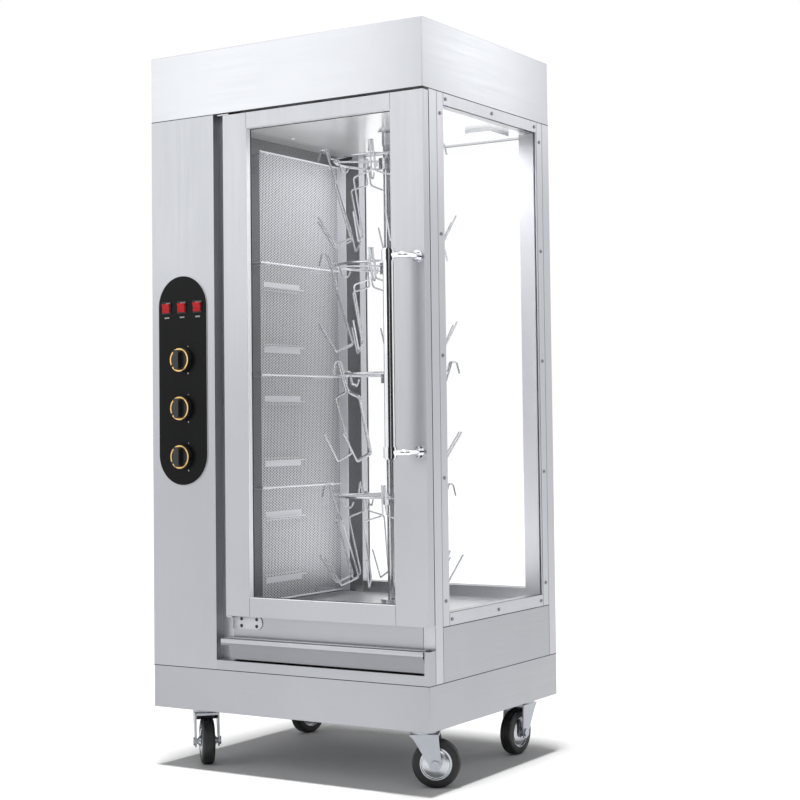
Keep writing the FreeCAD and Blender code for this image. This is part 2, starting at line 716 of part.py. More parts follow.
def side_window_glass():
    return block(SIDE_STOP_RIGHT, RIGHT - TRIM_THICKNESS,
                 SIDE_OPENING_FRONT - PANE_LAP, SIDE_OPENING_BACK + PANE_LAP,
                 SIDE_OPENING_BOTTOM - PANE_LAP, SIDE_OPENING_TOP + PANE_LAP)


def rear_window_glass():
    lap = REAR_TRIM_WIDTH / 2 - SCREW_RADIUS - SEAM
    return block(REAR_OPENING_LEFT - lap, REAR_OPENING_RIGHT + lap,
                 REAR_STOP_BACK, BACK - TRIM_THICKNESS,
                 REAR_OPENING_BOTTOM - PANE_LAP, REAR_OPENING_TOP + PANE_LAP)


def panel_screws():
    return side_trim_screws() + rear_trim_screws() + hinge_screws()


# Roasting chamber

def burner_wall():
    top = CEILING_BOTTOM
    face = block(WALL_BACK_X, WALL_X, BODY_Y, REAR_STOP_BACK, FLOOR_TOP, top)
    front_flange = block(WALL_X, COLUMN_RIGHT - SHEET, BODY_Y, BODY_Y + SHEET, FLOOR_TOP, top)
    rear_flange = block(WALL_X, REAR_TRIM_LEFT, REAR_STOP_BACK - SHEET, REAR_STOP_BACK,
                        FLOOR_TOP, top)
    wall = fuse_all([face, front_flange, rear_flange])
    for level in BURNER_LEVELS:
        wall = wall.cut(burner_block(level, WALL_BACK_X - SHEET, WALL_X + SHEET, 0))
    for fastener in guard_posts():
        wall = wall.cut(fastener)
    return wall


def cavity_floor():
    floor = block(WALL_X, SIDE_STOP_LEFT, BODY_Y, SIDE_BACK, FLOOR_TOP - SHEET, FLOOR_TOP)
    floor = floor.cut(block(WALL_X - SHEET, MID_POST_RIGHT, BODY_Y - SHEET, SIDE_FRONT,
                            FLOOR_TOP - 2 * SHEET, FLOOR_TOP + SHEET))
    floor = floor.cut(block(FRONT_POST_LEFT, SIDE_STOP_LEFT + SHEET, BODY_Y - SHEET, SIDE_FRONT,
                            FLOOR_TOP - 2 * SHEET, FLOOR_TOP + SHEET))
    for side in (-1, 1):
        middle_y = SPINDLE_Y + side * DRAIN_OFFSET
        slot = block(SPINDLE_X - DRAIN_LENGTH / 2, SPINDLE_X + DRAIN_LENGTH / 2,
                     middle_y - DRAIN_WIDTH / 2, middle_y + DRAIN_WIDTH / 2,
                     FLOOR_TOP - 2 * SHEET, FLOOR_TOP + SHEET)
        floor = floor.cut(slot)
    return floor


def cavity_ceiling():
    ceiling = block(WALL_X, SIDE_STOP_LEFT, BODY_Y + RAIL_DEPTH, SIDE_BACK,
                    CEILING_BOTTOM, CEILING_BOTTOM + SHEET)
    ceiling = ceiling.cut(block(WALL_X - SHEET, MID_POST_RIGHT, BODY_Y, SIDE_FRONT,
                                CEILING_BOTTOM - SHEET, CEILING_BOTTOM + 2 * SHEET))
    ceiling = ceiling.cut(block(FRONT_POST_LEFT, SIDE_STOP_LEFT + SHEET, BODY_Y, SIDE_FRONT,
                                CEILING_BOTTOM - SHEET, CEILING_BOTTOM + 2 * SHEET))
    ceiling = ceiling.cut(lamp_block(CEILING_BOTTOM - SHEET, CEILING_BOTTOM + 2 * SHEET))
    return ceiling.cut(rod_between(spindle_point(CEILING_BOTTOM - SHEET),
                                   spindle_point(CEILING_BOTTOM + 2 * SHEET), BUSH_RADIUS))


def guard_front():
    return SPINDLE_Y - GUARD_LENGTH / 2


def guard_span():
    """Lowest and highest edge of the guard screen."""
    return FLOOR_TOP + GUARD_BOTTOM_GAP, CEILING_BOTTOM - GUARD_TOP_GAP


def guard_posts():
    """Stand-off pins that carry the guard screen from the burner wall."""
    low, high = guard_span()
    pins = []
    for y in (guard_front() + GUARD_POST_INSET, guard_front() + GUARD_LENGTH - GUARD_POST_INSET):
        for z in spread(low, high, GUARD_SECTION_COUNT + 1):
            z = min(max(z, low + GUARD_POST_RADIUS), high - GUARD_POST_RADIUS)
            pins.append(rod_between(Vector(WALL_BACK_X, y, z),
                                    Vector(WALL_X + GUARD_STANDOFF, y, z), GUARD_POST_RADIUS))
    return pins


def guard_screen():
    """The screen with its stiffening beads, its rear flange, and its stand-off pins."""
    low, high = guard_span()
    x = WALL_X + GUARD_STANDOFF
    back = guard_front() + GUARD_LENGTH
    pieces = [block(x, x + GUARD_SHEET, guard_front(), back, low, high)]
    for z in spread(low, high, GUARD_SECTION_COUNT + 1):
        z = min(max(z, low + GUARD_RIB_RADIUS), high - GUARD_RIB_RADIUS)
        bead = rod_between(Vector(x + GUARD_SHEET, guard_front(), z),
                           Vector(x + GUARD_SHEET, back, z), GUARD_RIB_RADIUS)
        pieces.append(bead.cut(block(x - GUARD_RIB_RADIUS, x, guard_front(), back, low, high)))
    flange = block(x, x + GUARD_FLANGE, back, back + GUARD_SHEET, low, high)
    return [fuse_all(pieces), flange] + guard_posts()


# Burners

def burner_block(level, x0, x1, inset):
    return block(x0, x1, SPINDLE_Y - BURNER_WIDTH / 2 + inset, SPINDLE_Y + BURNER_WIDTH / 2 - inset,
                 level - BURNER_HEIGHT / 2 + inset, level + BURNER_HEIGHT / 2 - inset)


def burner_body(level):
    """A sheet box, open to the chamber, with a flange behind the wall and a feed boss."""
    back = WALL_BACK_X - BURNER_DEPTH
    body = burner_block(level, back, WALL_X, BURNER_CLEARANCE)
    flange = burner_block(level, WALL_BACK_X - BURNER_WALL, WALL_BACK_X, -BURNER_FLANGE)
    pocket = burner_block(level, back + BURNER_WALL, WALL_X + SHEET,
                          BURNER_CLEARANCE + BURNER_WALL)
    return fuse_all([body, flange]).cut(pocket)


def burner_tile(level):
    return burner_block(level, WALL_X - BURNER_TILE, WALL_X - SHEET,
                        BURNER_CLEARANCE + BURNER_WALL)


def burner_brackets():
    """An angle strip above and below each burner, on the chamber side."""
    strips = []
    for level in BURNER_LEVELS:
        for side in (-1, 1):
            edge = level + side * (BURNER_HEIGHT / 2 + BRACKET_GAP)
            far = edge + side * BRACKET_HEIGHT
            low, high = min(edge, far), max(edge, far)
            shelf_low = edge if side > 0 else edge - SHEET
            y0 = SPINDLE_Y - BURNER_WIDTH / 2
            y1 = SPINDLE_Y + BURNER_WIDTH / 2
            strips.append(fuse_all([block(WALL_X, WALL_X + SHEET, y0, y1, low, high),
                                    block(WALL_X, WALL_X + BRACKET_REACH, y0, y1,
                                          shelf_low, shelf_low + SHEET)]))
    return strips


# Gas line

def knob_heights():
    return [KNOB_CENTRE_HEIGHT + KNOB_PITCH * step for step in (-1, 0, 1)]


def valve_y():
    return FRONT + SHEET + VALVE_GAP


def manifold_y():
    return valve_y() + VALVE_LENGTH + VALVE_STUB_LENGTH + MANIFOLD_RADIUS


def gas_valve(height):
    """A valve block with its stub screwed to the manifold and a bore for the knob's stem."""
    front = valve_y()
    body = block(PANEL_X - VALVE_WIDTH / 2, PANEL_X + VALVE_WIDTH / 2, front,
                 front + VALVE_LENGTH, height - VALVE_HEIGHT / 2, height + VALVE_HEIGHT / 2)
    collar = rod_between(Vector(PANEL_X, FRONT + SHEET, height), Vector(PANEL_X, front, height),
                         KNOB_HOLE_RADIUS + PLATE)
    stub = rod_between(Vector(PANEL_X, front + VALVE_LENGTH, height),
                       Vector(PANEL_X, manifold_y(), height), VALVE_STUB_RADIUS)
    valve = fuse_all([body, collar, stub]).cut(manifold_outside())
    return valve.cut(rod_between(Vector(PANEL_X, FRONT, height),
                                 Vector(PANEL_X, front + STEM_SOCKET, height),
                                 STEM_RADIUS + RUNNING_CLEARANCE))


def manifold_points():
    top = knob_heights()[-1] + MANIFOLD_END
    y = manifold_y()
    return [Vector(PANEL_X, y, top), Vector(PANEL_X, y, INLET_HEIGHT),
            Vector(PANEL_X, BACK, INLET_HEIGHT)]


def manifold_outside():
    return bent_rod(manifold_points(), [MANIFOLD_BEND], MANIFOLD_RADIUS)


def gas_manifold():
    """The riser, the elbow and the pipe to the rear panel."""
    top, corner, rear = manifold_points()
    elbow_top = corner.add(Vector(0, 0, MANIFOLD_BEND))
    elbow_rear = corner.add(Vector(0, MANIFOLD_BEND, 0))
    bore = MANIFOLD_RADIUS - MANIFOLD_WALL
    path = [elbow_top.add(Vector(0, 0, SEAM)), corner, elbow_rear.add(Vector(0, SEAM, 0))]
    elbow = bent_rod(path, [MANIFOLD_BEND], MANIFOLD_RADIUS + SEAM)
    elbow = elbow.cut(bent_rod(path, [MANIFOLD_BEND], bore))
    riser = ring_between(top, elbow_top.add(Vector(0, 0, SEAM)), MANIFOLD_RADIUS, bore)
    run = ring_between(elbow_rear.add(Vector(0, SEAM, 0)), rear, MANIFOLD_RADIUS, bore)
    return [riser, elbow, run]


def gas_inlet():
    """The threaded inlet on the rear panel."""
    at = BACK
    flange = rod_between(Vector(PANEL_X, at, INLET_HEIGHT),
                         Vector(PANEL_X, at + INLET_FLANGE_LENGTH, INLET_HEIGHT),
                         INLET_FLANGE_RADIUS)
    at += INLET_FLANGE_LENGTH
    corners = [Vector(PANEL_X + INLET_HEX_RADIUS * math.cos(math.radians(60 * side)), at,
                      INLET_HEIGHT + INLET_HEX_RADIUS * math.sin(math.radians(60 * side)))
               for side in range(6)]
    nut = prism(corners, Vector(0, INLET_HEX_LENGTH, 0))
    at += INLET_HEX_LENGTH
    thread = rod_between(Vector(PANEL_X, at, INLET_HEIGHT),
                         Vector(PANEL_X, at + INLET_THREAD_LENGTH, INLET_HEIGHT),
                         INLET_THREAD_RADIUS)
    bore = rod_between(Vector(PANEL_X, BACK - SEAM, INLET_HEIGHT),
                       Vector(PANEL_X, BACK + INLET_REACH + SEAM, INLET_HEIGHT),
                       MANIFOLD_RADIUS - MANIFOLD_WALL)
    return fuse_all([flange, nut, thread]).cut(bore)


def feed_tube(height, level):
    """The tube from one valve's side to the back of its burner."""
    valve_side = PANEL_X - VALVE_WIDTH / 2
    x = valve_side - FEED_OFFSET
    y = valve_y() + VALVE_LENGTH / 2
    points = [Vector(valve_side, y, height), Vector(x, y, height), Vector(x, SPINDLE_Y, height),
              Vector(x, SPINDLE_Y, level), Vector(WALL_BACK_X - BURNER_DEPTH, SPINDLE_Y, level)]
    return bent_rod(points, [FEED_BEND] * 3, FEED_RADIUS)


# Control fascia, knobs and switches

def switch_places():
    return [PANEL_X + SWITCH_PITCH * step for step in (-1, 0, 1)]


def switch_cutout(x, y0, y1):
    half_x = SWITCH_BODY[0] / 2
    half_z = SWITCH_BODY[1] / 2
    return block(x - half_x, x + half_x, y0, y1, SWITCH_HEIGHT - half_z, SWITCH_HEIGHT + half_z)


def control_fascia():
    plate = obround(PANEL_X, FASCIA_CENTRE_HEIGHT, FASCIA_WIDTH, FASCIA_HEIGHT,
                    FRONT - FASCIA_THICKNESS, FRONT)
    for height in knob_heights():
        plate = plate.cut(rod_between(Vector(PANEL_X, FRONT - 2 * FASCIA_THICKNESS, height),
                                      Vector(PANEL_X, FRONT + FASCIA_THICKNESS, height),
                                      KNOB_HOLE_RADIUS))
    for place in switch_places():
        plate = plate.cut(switch_cutout(place, FRONT - 2 * FASCIA_THICKNESS,
                                        FRONT + FASCIA_THICKNESS))
    return plate


def switch_face():
    return FRONT - FASCIA_THICKNESS - SWITCH_FLANGE_THICKNESS


def switch_housing(x):
    face = switch_face()
    flange = block(x - SWITCH_FLANGE[0] / 2, x + SWITCH_FLANGE[0] / 2, face,
                   FRONT - FASCIA_THICKNESS, SWITCH_HEIGHT - SWITCH_FLANGE[1] / 2,
                   SWITCH_HEIGHT + SWITCH_FLANGE[1] / 2)
    body = switch_cutout(x, FRONT - FASCIA_THICKNESS, face + SWITCH_DEPTH)
    pocket = block(x - ROCKER_POCKET[0] / 2, x + ROCKER_POCKET[0] / 2, face - SEAM,
                   face + SWITCH_POCKET_DEPTH, SWITCH_HEIGHT - ROCKER_POCKET[1] / 2,
                   SWITCH_HEIGHT + ROCKER_POCKET[1] / 2)
    pivot_y = face + ROCKER_PIVOT_DEPTH
    pin_hole = rod_between(Vector(x - SWITCH_BODY[0] / 2 + SEAM / 2, pivot_y, SWITCH_HEIGHT),
                           Vector(x + SWITCH_BODY[0] / 2 - SEAM / 2, pivot_y, SWITCH_HEIGHT),
                           ROCKER_PIN_RADIUS + RUNNING_CLEARANCE)
    return fuse_all([flange, body]).cut(pocket).cut(pin_hole)


def rocker(x):
    """A rocker with a shallow valley in its face, tilted to its off position."""
    face = switch_face()
    half = ROCKER_SIZE[1] / 2
    foot = half - ROCKER_PROUD
    depth = ROCKER_PIVOT_DEPTH + 2 * ROCKER_PIN_RADIUS
    left = x - ROCKER_SIZE[0] / 2
    outline = [Vector(left, face - ROCKER_PROUD, SWITCH_HEIGHT - half),
               Vector(left, face - ROCKER_VALLEY, SWITCH_HEIGHT),
               Vector(left, face - ROCKER_PROUD, SWITCH_HEIGHT + half),
               Vector(left, face + SEAM, SWITCH_HEIGHT + half),
               Vector(left, face + depth, SWITCH_HEIGHT + foot),
               Vector(left, face + depth, SWITCH_HEIGHT - foot),
               Vector(left, face + SEAM, SWITCH_HEIGHT - half)]
    body = prism(outline, Vector(ROCKER_SIZE[0], 0, 0))
    reach = SWITCH_BODY[0] / 2 - SEAM
    pivot_y = face + ROCKER_PIVOT_DEPTH
    pin = rod_between(Vector(x - reach, pivot_y, SWITCH_HEIGHT),
                      Vector(x + reach, pivot_y, SWITCH_HEIGHT), ROCKER_PIN_RADIUS)
    shape = fuse_all([body, pin])
    shape.rotate(Vector(x, pivot_y, SWITCH_HEIGHT), X_AXIS, ROCKER_TILT)
    return shape


def knob(height):
    """A round knob with a grip bar, pressed on the valve's stem."""
    seat = FRONT - FASCIA_THICKNESS - KNOB_GAP
    front = FRONT - FASCIA_THICKNESS - KNOB_REACH
    skirt = rod_between(Vector(PANEL_X, seat, height), Vector(PANEL_X, seat - KNOB_SKIRT, height),
                        KNOB_RADIUS)
    half_length = KNOB_GRIP_LENGTH / 2 - KNOB_GRIP_WIDTH / 2
    grip = obround(PANEL_X, height, KNOB_GRIP_WIDTH, KNOB_GRIP_LENGTH, front, seat - KNOB_SKIRT)
    stem = rod_between(Vector(PANEL_X, seat, height),
                       Vector(PANEL_X, valve_y() + STEM_SOCKET - SEAM, height), STEM_RADIUS)
    return fuse_all([skirt, grip, stem])


# Door

def rebate_frame(x0, x1, z0, z1, inset):
    """The glazing rebate behind the door's opening, as one block."""
    return block(x0 - inset, x1 + inset, DOOR_BACK - REBATE_DEPTH, DOOR_BACK + SEAM,
                 z0 - inset, z1 + inset)


def door_member(x0, x1, z0, z1, along):
    """One hollow member of the door, with the glazing rebate along its inner edge."""
    rebate = rebate_frame(DOOR_OPEN_LEFT, DOOR_OPEN_RIGHT, DOOR_OPEN_BOTTOM, DOOR_OPEN_TOP,
                          REBATE_WIDTH)
    wide_rebate = rebate_frame(DOOR_OPEN_LEFT, DOOR_OPEN_RIGHT, DOOR_OPEN_BOTTOM, DOOR_OPEN_TOP,
                               REBATE_WIDTH + DOOR_WALL)
    wide_rebate.translate(Vector(0, -DOOR_WALL, 0))
    wall = DOOR_WALL
    end = 0 if along == "x" else wall
    core = block(x0 + wall - wall * (along == "x"), x1 - wall + wall * (along == "x"),
                 FRONT + wall, DOOR_BACK - wall, z0 + max(end, wall), z1 - max(end, wall))
    return block(x0, x1, FRONT, DOOR_BACK, z0, z1).cut(rebate).cut(core.cut(wide_rebate))


def door_frame():
    bore = PIVOT_RADIUS + PIVOT_CLEARANCE
    left = door_member(DOOR_LEFT, DOOR_OPEN_LEFT, DOOR_BOTTOM, DOOR_TOP, "z")
    for end, inward in ((DOOR_BOTTOM, 1), (DOOR_TOP, -1)):
        plug = rod_between(Vector(PIVOT_X, PIVOT_Y, end),
                           Vector(PIVOT_X, PIVOT_Y, end + inward * (PIVOT_ENGAGEMENT + PLATE)),
                           PIVOT_INSET - DOOR_WALL / 2)
        hole = rod_between(Vector(PIVOT_X, PIVOT_Y, end - inward * SEAM),
                           Vector(PIVOT_X, PIVOT_Y, end + inward * PIVOT_ENGAGEMENT), bore)
        left = left.fuse(plug).cut(hole)
    return [
        left,
        door_member(DOOR_OPEN_RIGHT, DOOR_RIGHT, DOOR_BOTTOM, DOOR_TOP, "z"),
        door_member(DOOR_OPEN_LEFT, DOOR_OPEN_RIGHT, DOOR_BOTTOM, DOOR_OPEN_BOTTOM, "x"),
        door_member(DOOR_OPEN_LEFT, DOOR_OPEN_RIGHT, DOOR_OPEN_TOP, DOOR_TOP, "x"),
    ]


def pane_front():
    return DOOR_BACK - REBATE_DEPTH + GLAZING_SEAL


def door_glass():
    lap = REBATE_WIDTH - PANE_EDGE_GAP
    return block(DOOR_OPEN_LEFT - lap, DOOR_OPEN_RIGHT + lap, pane_front(),
                 pane_front() + DOOR_PANE, DOOR_OPEN_BOTTOM - lap, DOOR_OPEN_TOP + lap)


def strip_ring(x0, x1, z0, z1, width, y0, y1):
    """Four strips round an opening, each a solid of its own."""
    return [
        block(x0 - width, x0, y0, y1, z0 - width, z1 + width),
        block(x1, x1 + width, y0, y1, z0 - width, z1 + width),
        block(x0, x1, y0, y1, z0 - width, z0),
        block(x0, x1, y0, y1, z1, z1 + width),
    ]


def door_gasket():
    """Glazing strips before and behind the pane, and the seal against the body."""
    sight = GLAZING_SIGHT
    width = REBATE_WIDTH - PANE_EDGE_GAP + sight
    ring = (DOOR_OPEN_LEFT + sight, DOOR_OPEN_RIGHT - sight, DOOR_OPEN_BOTTOM + sight,
            DOOR_OPEN_TOP - sight, width)
    before = strip_ring(*ring, pane_front() - GLAZING_SEAL, pane_front())
    behind = strip_ring(*ring, pane_front() + DOOR_PANE, DOOR_BACK)
    inset = REBATE_WIDTH + DOOR_SEAL_INSET
    seal = strip_ring(DOOR_OPEN_LEFT - inset, DOOR_OPEN_RIGHT + inset,
                      DOOR_OPEN_BOTTOM - REBATE_WIDTH, DOOR_OPEN_TOP + REBATE_WIDTH,
                      DOOR_SEAL_WIDTH, DOOR_BACK, BODY_Y - DOOR_SEAL_GAP)
    return before + behind + seal


def handle_x():
    return RIGHT - HANDLE_FOOT_INSET - HANDLE_SIDE_OFFSET


def handle_bar():
    y = FRONT - HANDLE_STANDOFF
    return rod_between(Vector(handle_x(), y, HANDLE_CENTRE_HEIGHT - HANDLE_LENGTH / 2),
                       Vector(handle_x(), y, HANDLE_CENTRE_HEIGHT + HANDLE_LENGTH / 2),
                       HANDLE_RADIUS)


def handle_brackets():
    """Two cranked brackets: a foot on the stile, an arm, and a collar round the bar."""
    foot_x = RIGHT - HANDLE_FOOT_INSET
    y = FRONT - HANDLE_STANDOFF
    brackets = []
    for side in (-1, 1):
        z = HANDLE_CENTRE_HEIGHT + side * HANDLE_PITCH / 2
        foot = rod_between(Vector(foot_x, FRONT, z), Vector(foot_x, FRONT - HANDLE_FOOT_THICKNESS, z),
                           HANDLE_FOOT_RADIUS)
        arm = bent_rod([Vector(foot_x, FRONT, z), Vector(foot_x, y, z), Vector(handle_x(), y, z)],
                       [HANDLE_ARM_RADIUS * 2], HANDLE_ARM_RADIUS)
        low = Vector(handle_x(), y, z - HANDLE_COLLAR_LENGTH / 2)
        high = Vector(handle_x(), y, z + HANDLE_COLLAR_LENGTH / 2)
        collar = rod_between(low, high, HANDLE_COLLAR_RADIUS)
        brackets.append(fuse_all([foot, arm, collar]).cut(rod_between(low, high, HANDLE_RADIUS)))
    return brackets


# Hinges and catches

def hinge_plates():
    lower_top = DOOR_BOTTOM - HINGE_LEAF_GAP
    leaf_left = DOOR_LEFT
    leaf_right = PIVOT_X + 2 * PIVOT_RADIUS
    plate_y = BODY_Y - HINGE_PLATE
    round_end = DOOR_LEFT + LOWER_HINGE_LENGTH - HINGE_PLATE_HEIGHT / 2
    middle = lower_top - HINGE_PLATE_HEIGHT / 2
    lower = fuse_all([
        block(DOOR_LEFT, round_end, plate_y, BODY_Y, lower_top - HINGE_PLATE_HEIGHT, lower_top),
        rod_between(Vector(round_end, plate_y, middle), Vector(round_end, BODY_Y, middle),
                    HINGE_PLATE_HEIGHT / 2),
        block(leaf_left, leaf_right, FRONT + PLATE, BODY_Y, lower_top - HINGE_LEAF, lower_top),
        rod_between(Vector(PIVOT_X, PIVOT_Y, lower_top - HINGE_LEAF),
                    Vector(PIVOT_X, PIVOT_Y, DOOR_BOTTOM + PIVOT_ENGAGEMENT - SEAM), PIVOT_RADIUS),
    ])
    upper_bottom = DOOR_TOP + HINGE_LEAF_GAP
    plate_right = DOOR_LEFT - SEAM
    upper = fuse_all([
        block(plate_right - UPPER_HINGE_LENGTH, plate_right, plate_y, BODY_Y,
              upper_bottom - UPPER_HINGE_HEIGHT, upper_bottom + HINGE_LEAF),
        block(plate_right - UPPER_HINGE_LENGTH, leaf_right, FRONT + PLATE, BODY_Y,
              upper_bottom, upper_bottom + HINGE_LEAF),
        rod_between(Vector(PIVOT_X, PIVOT_Y, upper_bottom + HINGE_LEAF),
                    Vector(PIVOT_X, PIVOT_Y, DOOR_TOP - PIVOT_ENGAGEMENT + SEAM), PIVOT_RADIUS),
    ])
    for fastener in hinge_screws():
        lower = lower.cut(fastener)
        upper = upper.cut(fastener)
    return [lower, upper]


def hinge_screws():
    """Flush screw heads on the two hinge plates."""
    lower_top = DOOR_BOTTOM - HINGE_LEAF_GAP
    middle = lower_top - HINGE_PLATE_HEIGHT / 2
    step = HINGE_PLATE_HEIGHT / 4
    places = []
    for x in (DOOR_LEFT + HINGE_SCREW_INSET, DOOR_LEFT + LOWER_HINGE_LENGTH - HINGE_PLATE_HEIGHT / 2):
        places += [(x, middle - step), (x, middle + step)]
    upper_x = DOOR_LEFT - SEAM - UPPER_HINGE_LENGTH / 2
    upper_bottom = DOOR_TOP + HINGE_LEAF_GAP - UPPER_HINGE_HEIGHT
    places += [(upper_x, upper_bottom + step), (upper_x, upper_bottom + 3 * step)]
    return [rod_between(Vector(x, BODY_Y - HINGE_PLATE, z), Vector(x, BODY_Y, z),
                        SCREW_HEAD_RADIUS - SEAM) for x, z in places]


def catch_body(x):
    z = (CEILING_BOTTOM + BODY_TOP) / 2
    return block(x, x + CATCH_LENGTH, BODY_Y, BODY_Y + CATCH_DEPTH,
                 z - CATCH_HEIGHT / 2, z + CATCH_HEIGHT / 2)


def door_catches():
    """The magnet catch, let into the top rail behind the door's free side."""
    return [catch_body(DOOR_RIGHT - RIGHT_STILE)]


# Drip tray and runners

def tray_front():
    """The drawer front: a lip that stands proud, over a face that slants back below."""
    top = TRAY_FRONT_TOP
    lip_bottom = top - TRAY_LIP_HEIGHT
    bottom = TRAY_FRONT_BOTTOM
    back = BODY_Y - SEAM
    def face_outline(x, inset):
        return [Vector(x, FRONT + inset, lip_bottom), Vector(x, FRONT + TRAY_FACE_SLANT + inset,
                                                             bottom + inset),
                Vector(x, back - inset, bottom + inset), Vector(x, back - inset, lip_bottom)]
    face = prism(face_outline(TRAY_FACE_LEFT, 0), Vector(TRAY_FACE_RIGHT - TRAY_FACE_LEFT, 0, 0))
    lip = block(TRAY_FACE_LEFT - TRAY_LIP_OVERHANG, TRAY_FACE_RIGHT, FRONT - TRAY_LIP_REACH,
                back, lip_bottom, top)
    hollow = prism(face_outline(TRAY_FACE_LEFT + SHEET, SHEET * 1.5),
                   Vector(TRAY_FACE_RIGHT - TRAY_FACE_LEFT - 2 * SHEET, 0, 0))
    lip_hollow = block(TRAY_FACE_LEFT - TRAY_LIP_OVERHANG + SHEET, TRAY_FACE_RIGHT - SHEET,
                       FRONT - TRAY_LIP_REACH + SHEET, back - SHEET, lip_bottom + SHEET,
                       top - SHEET)
    return fuse_all([face, lip]).cut(hollow).cut(lip_hollow)


def tray_top():
    return TRAY_FRONT_TOP - SHEET


def drip_tray():
    """An open pan with side flanges that run on the runners."""
    y0 = BODY_Y - SEAM
    y1 = y0 + TRAY_LENGTH
    top = tray_top()
    low = top - TRAY_PAN_DEPTH
    x0 = TRAY_LEFT + TRAY_FLANGE
    x1 = TRAY_RIGHT - TRAY_FLANGE
    pan = block(x0, x1, y0, y1, low, top)
    pan = pan.cut(block(x0 + TRAY_WALL, x1 - TRAY_WALL, y0 + TRAY_WALL, y1 - TRAY_WALL,
                        low + TRAY_WALL, top + SEAM))
    flanges = [block(TRAY_LEFT, x0, y0, y1, top - TRAY_WALL, top),
               block(x1, TRAY_RIGHT, y0, y1, top - TRAY_WALL, top)]
    return fuse_all([pan] + flanges)


def tray_runners():
    """Two angle runners, from the front posts to the rear panel and the rear post."""
    ledge_top = tray_top() - TRAY_WALL - TRAY_RUNNING_GAP
    y0 = BODY_Y
    left_wall = TRAY_LEFT - TRAY_SIDE_GAP
    right_wall = TRAY_RIGHT + TRAY_SIDE_GAP
    ledge = TRAY_SIDE_GAP + TRAY_FLANGE - TRAY_WALL
    runners = []
    for x0, x1, wall_x, y1 in ((left_wall, left_wall + ledge, left_wall, BACK - SHEET),
                               (right_wall - ledge, right_wall, right_wall - RUNNER_THICKNESS,
                                SIDE_BACK)):
        shelf = block(x0, x1, y0, y1, ledge_top - RUNNER_THICKNESS, ledge_top)
        web = block(wall_x, wall_x + RUNNER_THICKNESS, y0, y1, BODY_BOTTOM, ledge_top)
        runners.append(fuse_all([shelf, web]))
    return runners


# Ceiling lamp

def lamp_block(z0, z1, inset=0.0):
    return block(LAMP_X - LAMP_WIDTH / 2 + inset, LAMP_X + LAMP_WIDTH / 2 - inset,
                 CENTRE_Y + LAMP_Y - LAMP_LENGTH / 2 + inset,
                 CENTRE_Y + LAMP_Y + LAMP_LENGTH / 2 - inset, z0, z1)


def lamp_housing():
    low = CEILING_BOTTOM - LAMP_DROP
    body = lamp_block(low, low + LAMP_HEIGHT)
    flange = lamp_block(CEILING_BOTTOM + SHEET, CEILING_BOTTOM + 2 * SHEET, -LAMP_FLANGE)
    hollow = lamp_block(low - SEAM, low + LAMP_HEIGHT - LAMP_WALL, LAMP_WALL)
    return fuse_all([body, flange]).cut(hollow)


def lamp_cover():
    low = CEILING_BOTTOM - LAMP_DROP
    return lamp_block(low, low + LAMP_COVER, LAMP_WALL)


# Spindle, racks and forks

def spindle_point(z):
    return Vector(SPINDLE_X, SPINDLE_Y, z)


def coupling_top():
    return CEILING_BOTTOM - COUPLING_CEILING_GAP


def spindle():
    low = spindle_point(FLOOR_TOP + SPINDLE_FLOOR_GAP)
    high = spindle_point(coupling_top() - COUPLING_LENGTH / 2)
    return ring_between(low, high, SPINDLE_RADIUS, SPINDLE_BORE)


def drive_coupling():
    """The sleeve that joins the spindle to the motor's shaft, and that shaft."""
    middle = coupling_top() - COUPLING_LENGTH / 2
    sleeve = rod_between(spindle_point(coupling_top() - COUPLING_LENGTH),
                         spindle_point(coupling_top()), COUPLING_RADIUS)
    sleeve = sleeve.cut(rod_between(spindle_point(coupling_top() - COUPLING_LENGTH - SEAM),
                                    spindle_point(middle), SPINDLE_RADIUS))
    sleeve = sleeve.cut(rod_between(spindle_point(middle), spindle_point(coupling_top() + SEAM),
                                    DRIVE_SHAFT_RADIUS))
    shaft = rod_between(spindle_point(middle), spindle_point(gearbox_bottom() + GEARBOX_SIZE[2] / 2),
                        DRIVE_SHAFT_RADIUS)
    return [sleeve, shaft]


def spindle_bearings():
    """The pivot cup on the chamber floor and the bush in its ceiling."""
    cup = rod_between(spindle_point(FLOOR_TOP), spindle_point(FLOOR_TOP + BEARING_HEIGHT),
                      BEARING_RADIUS)
    cup = cup.cut(rod_between(spindle_point(FLOOR_TOP + SPINDLE_FLOOR_GAP - TRAY_RUNNING_GAP),
                              spindle_point(FLOOR_TOP + BEARING_HEIGHT + SEAM),
                              SPINDLE_RADIUS + RUNNING_CLEARANCE))
    low = CEILING_BOTTOM - COUPLING_CEILING_GAP + SEAM
    bush = fuse_all([rod_between(spindle_point(low), spindle_point(low + BUSH_LENGTH), BUSH_RADIUS),
                     rod_between(spindle_point(low), spindle_point(CEILING_BOTTOM),
                                 BUSH_RADIUS + PLATE)])
    bush = bush.cut(rod_between(spindle_point(low - SEAM), spindle_point(low + BUSH_LENGTH + SEAM),
                                DRIVE_SHAFT_RADIUS + RUNNING_CLEARANCE))
    return [cup, bush]


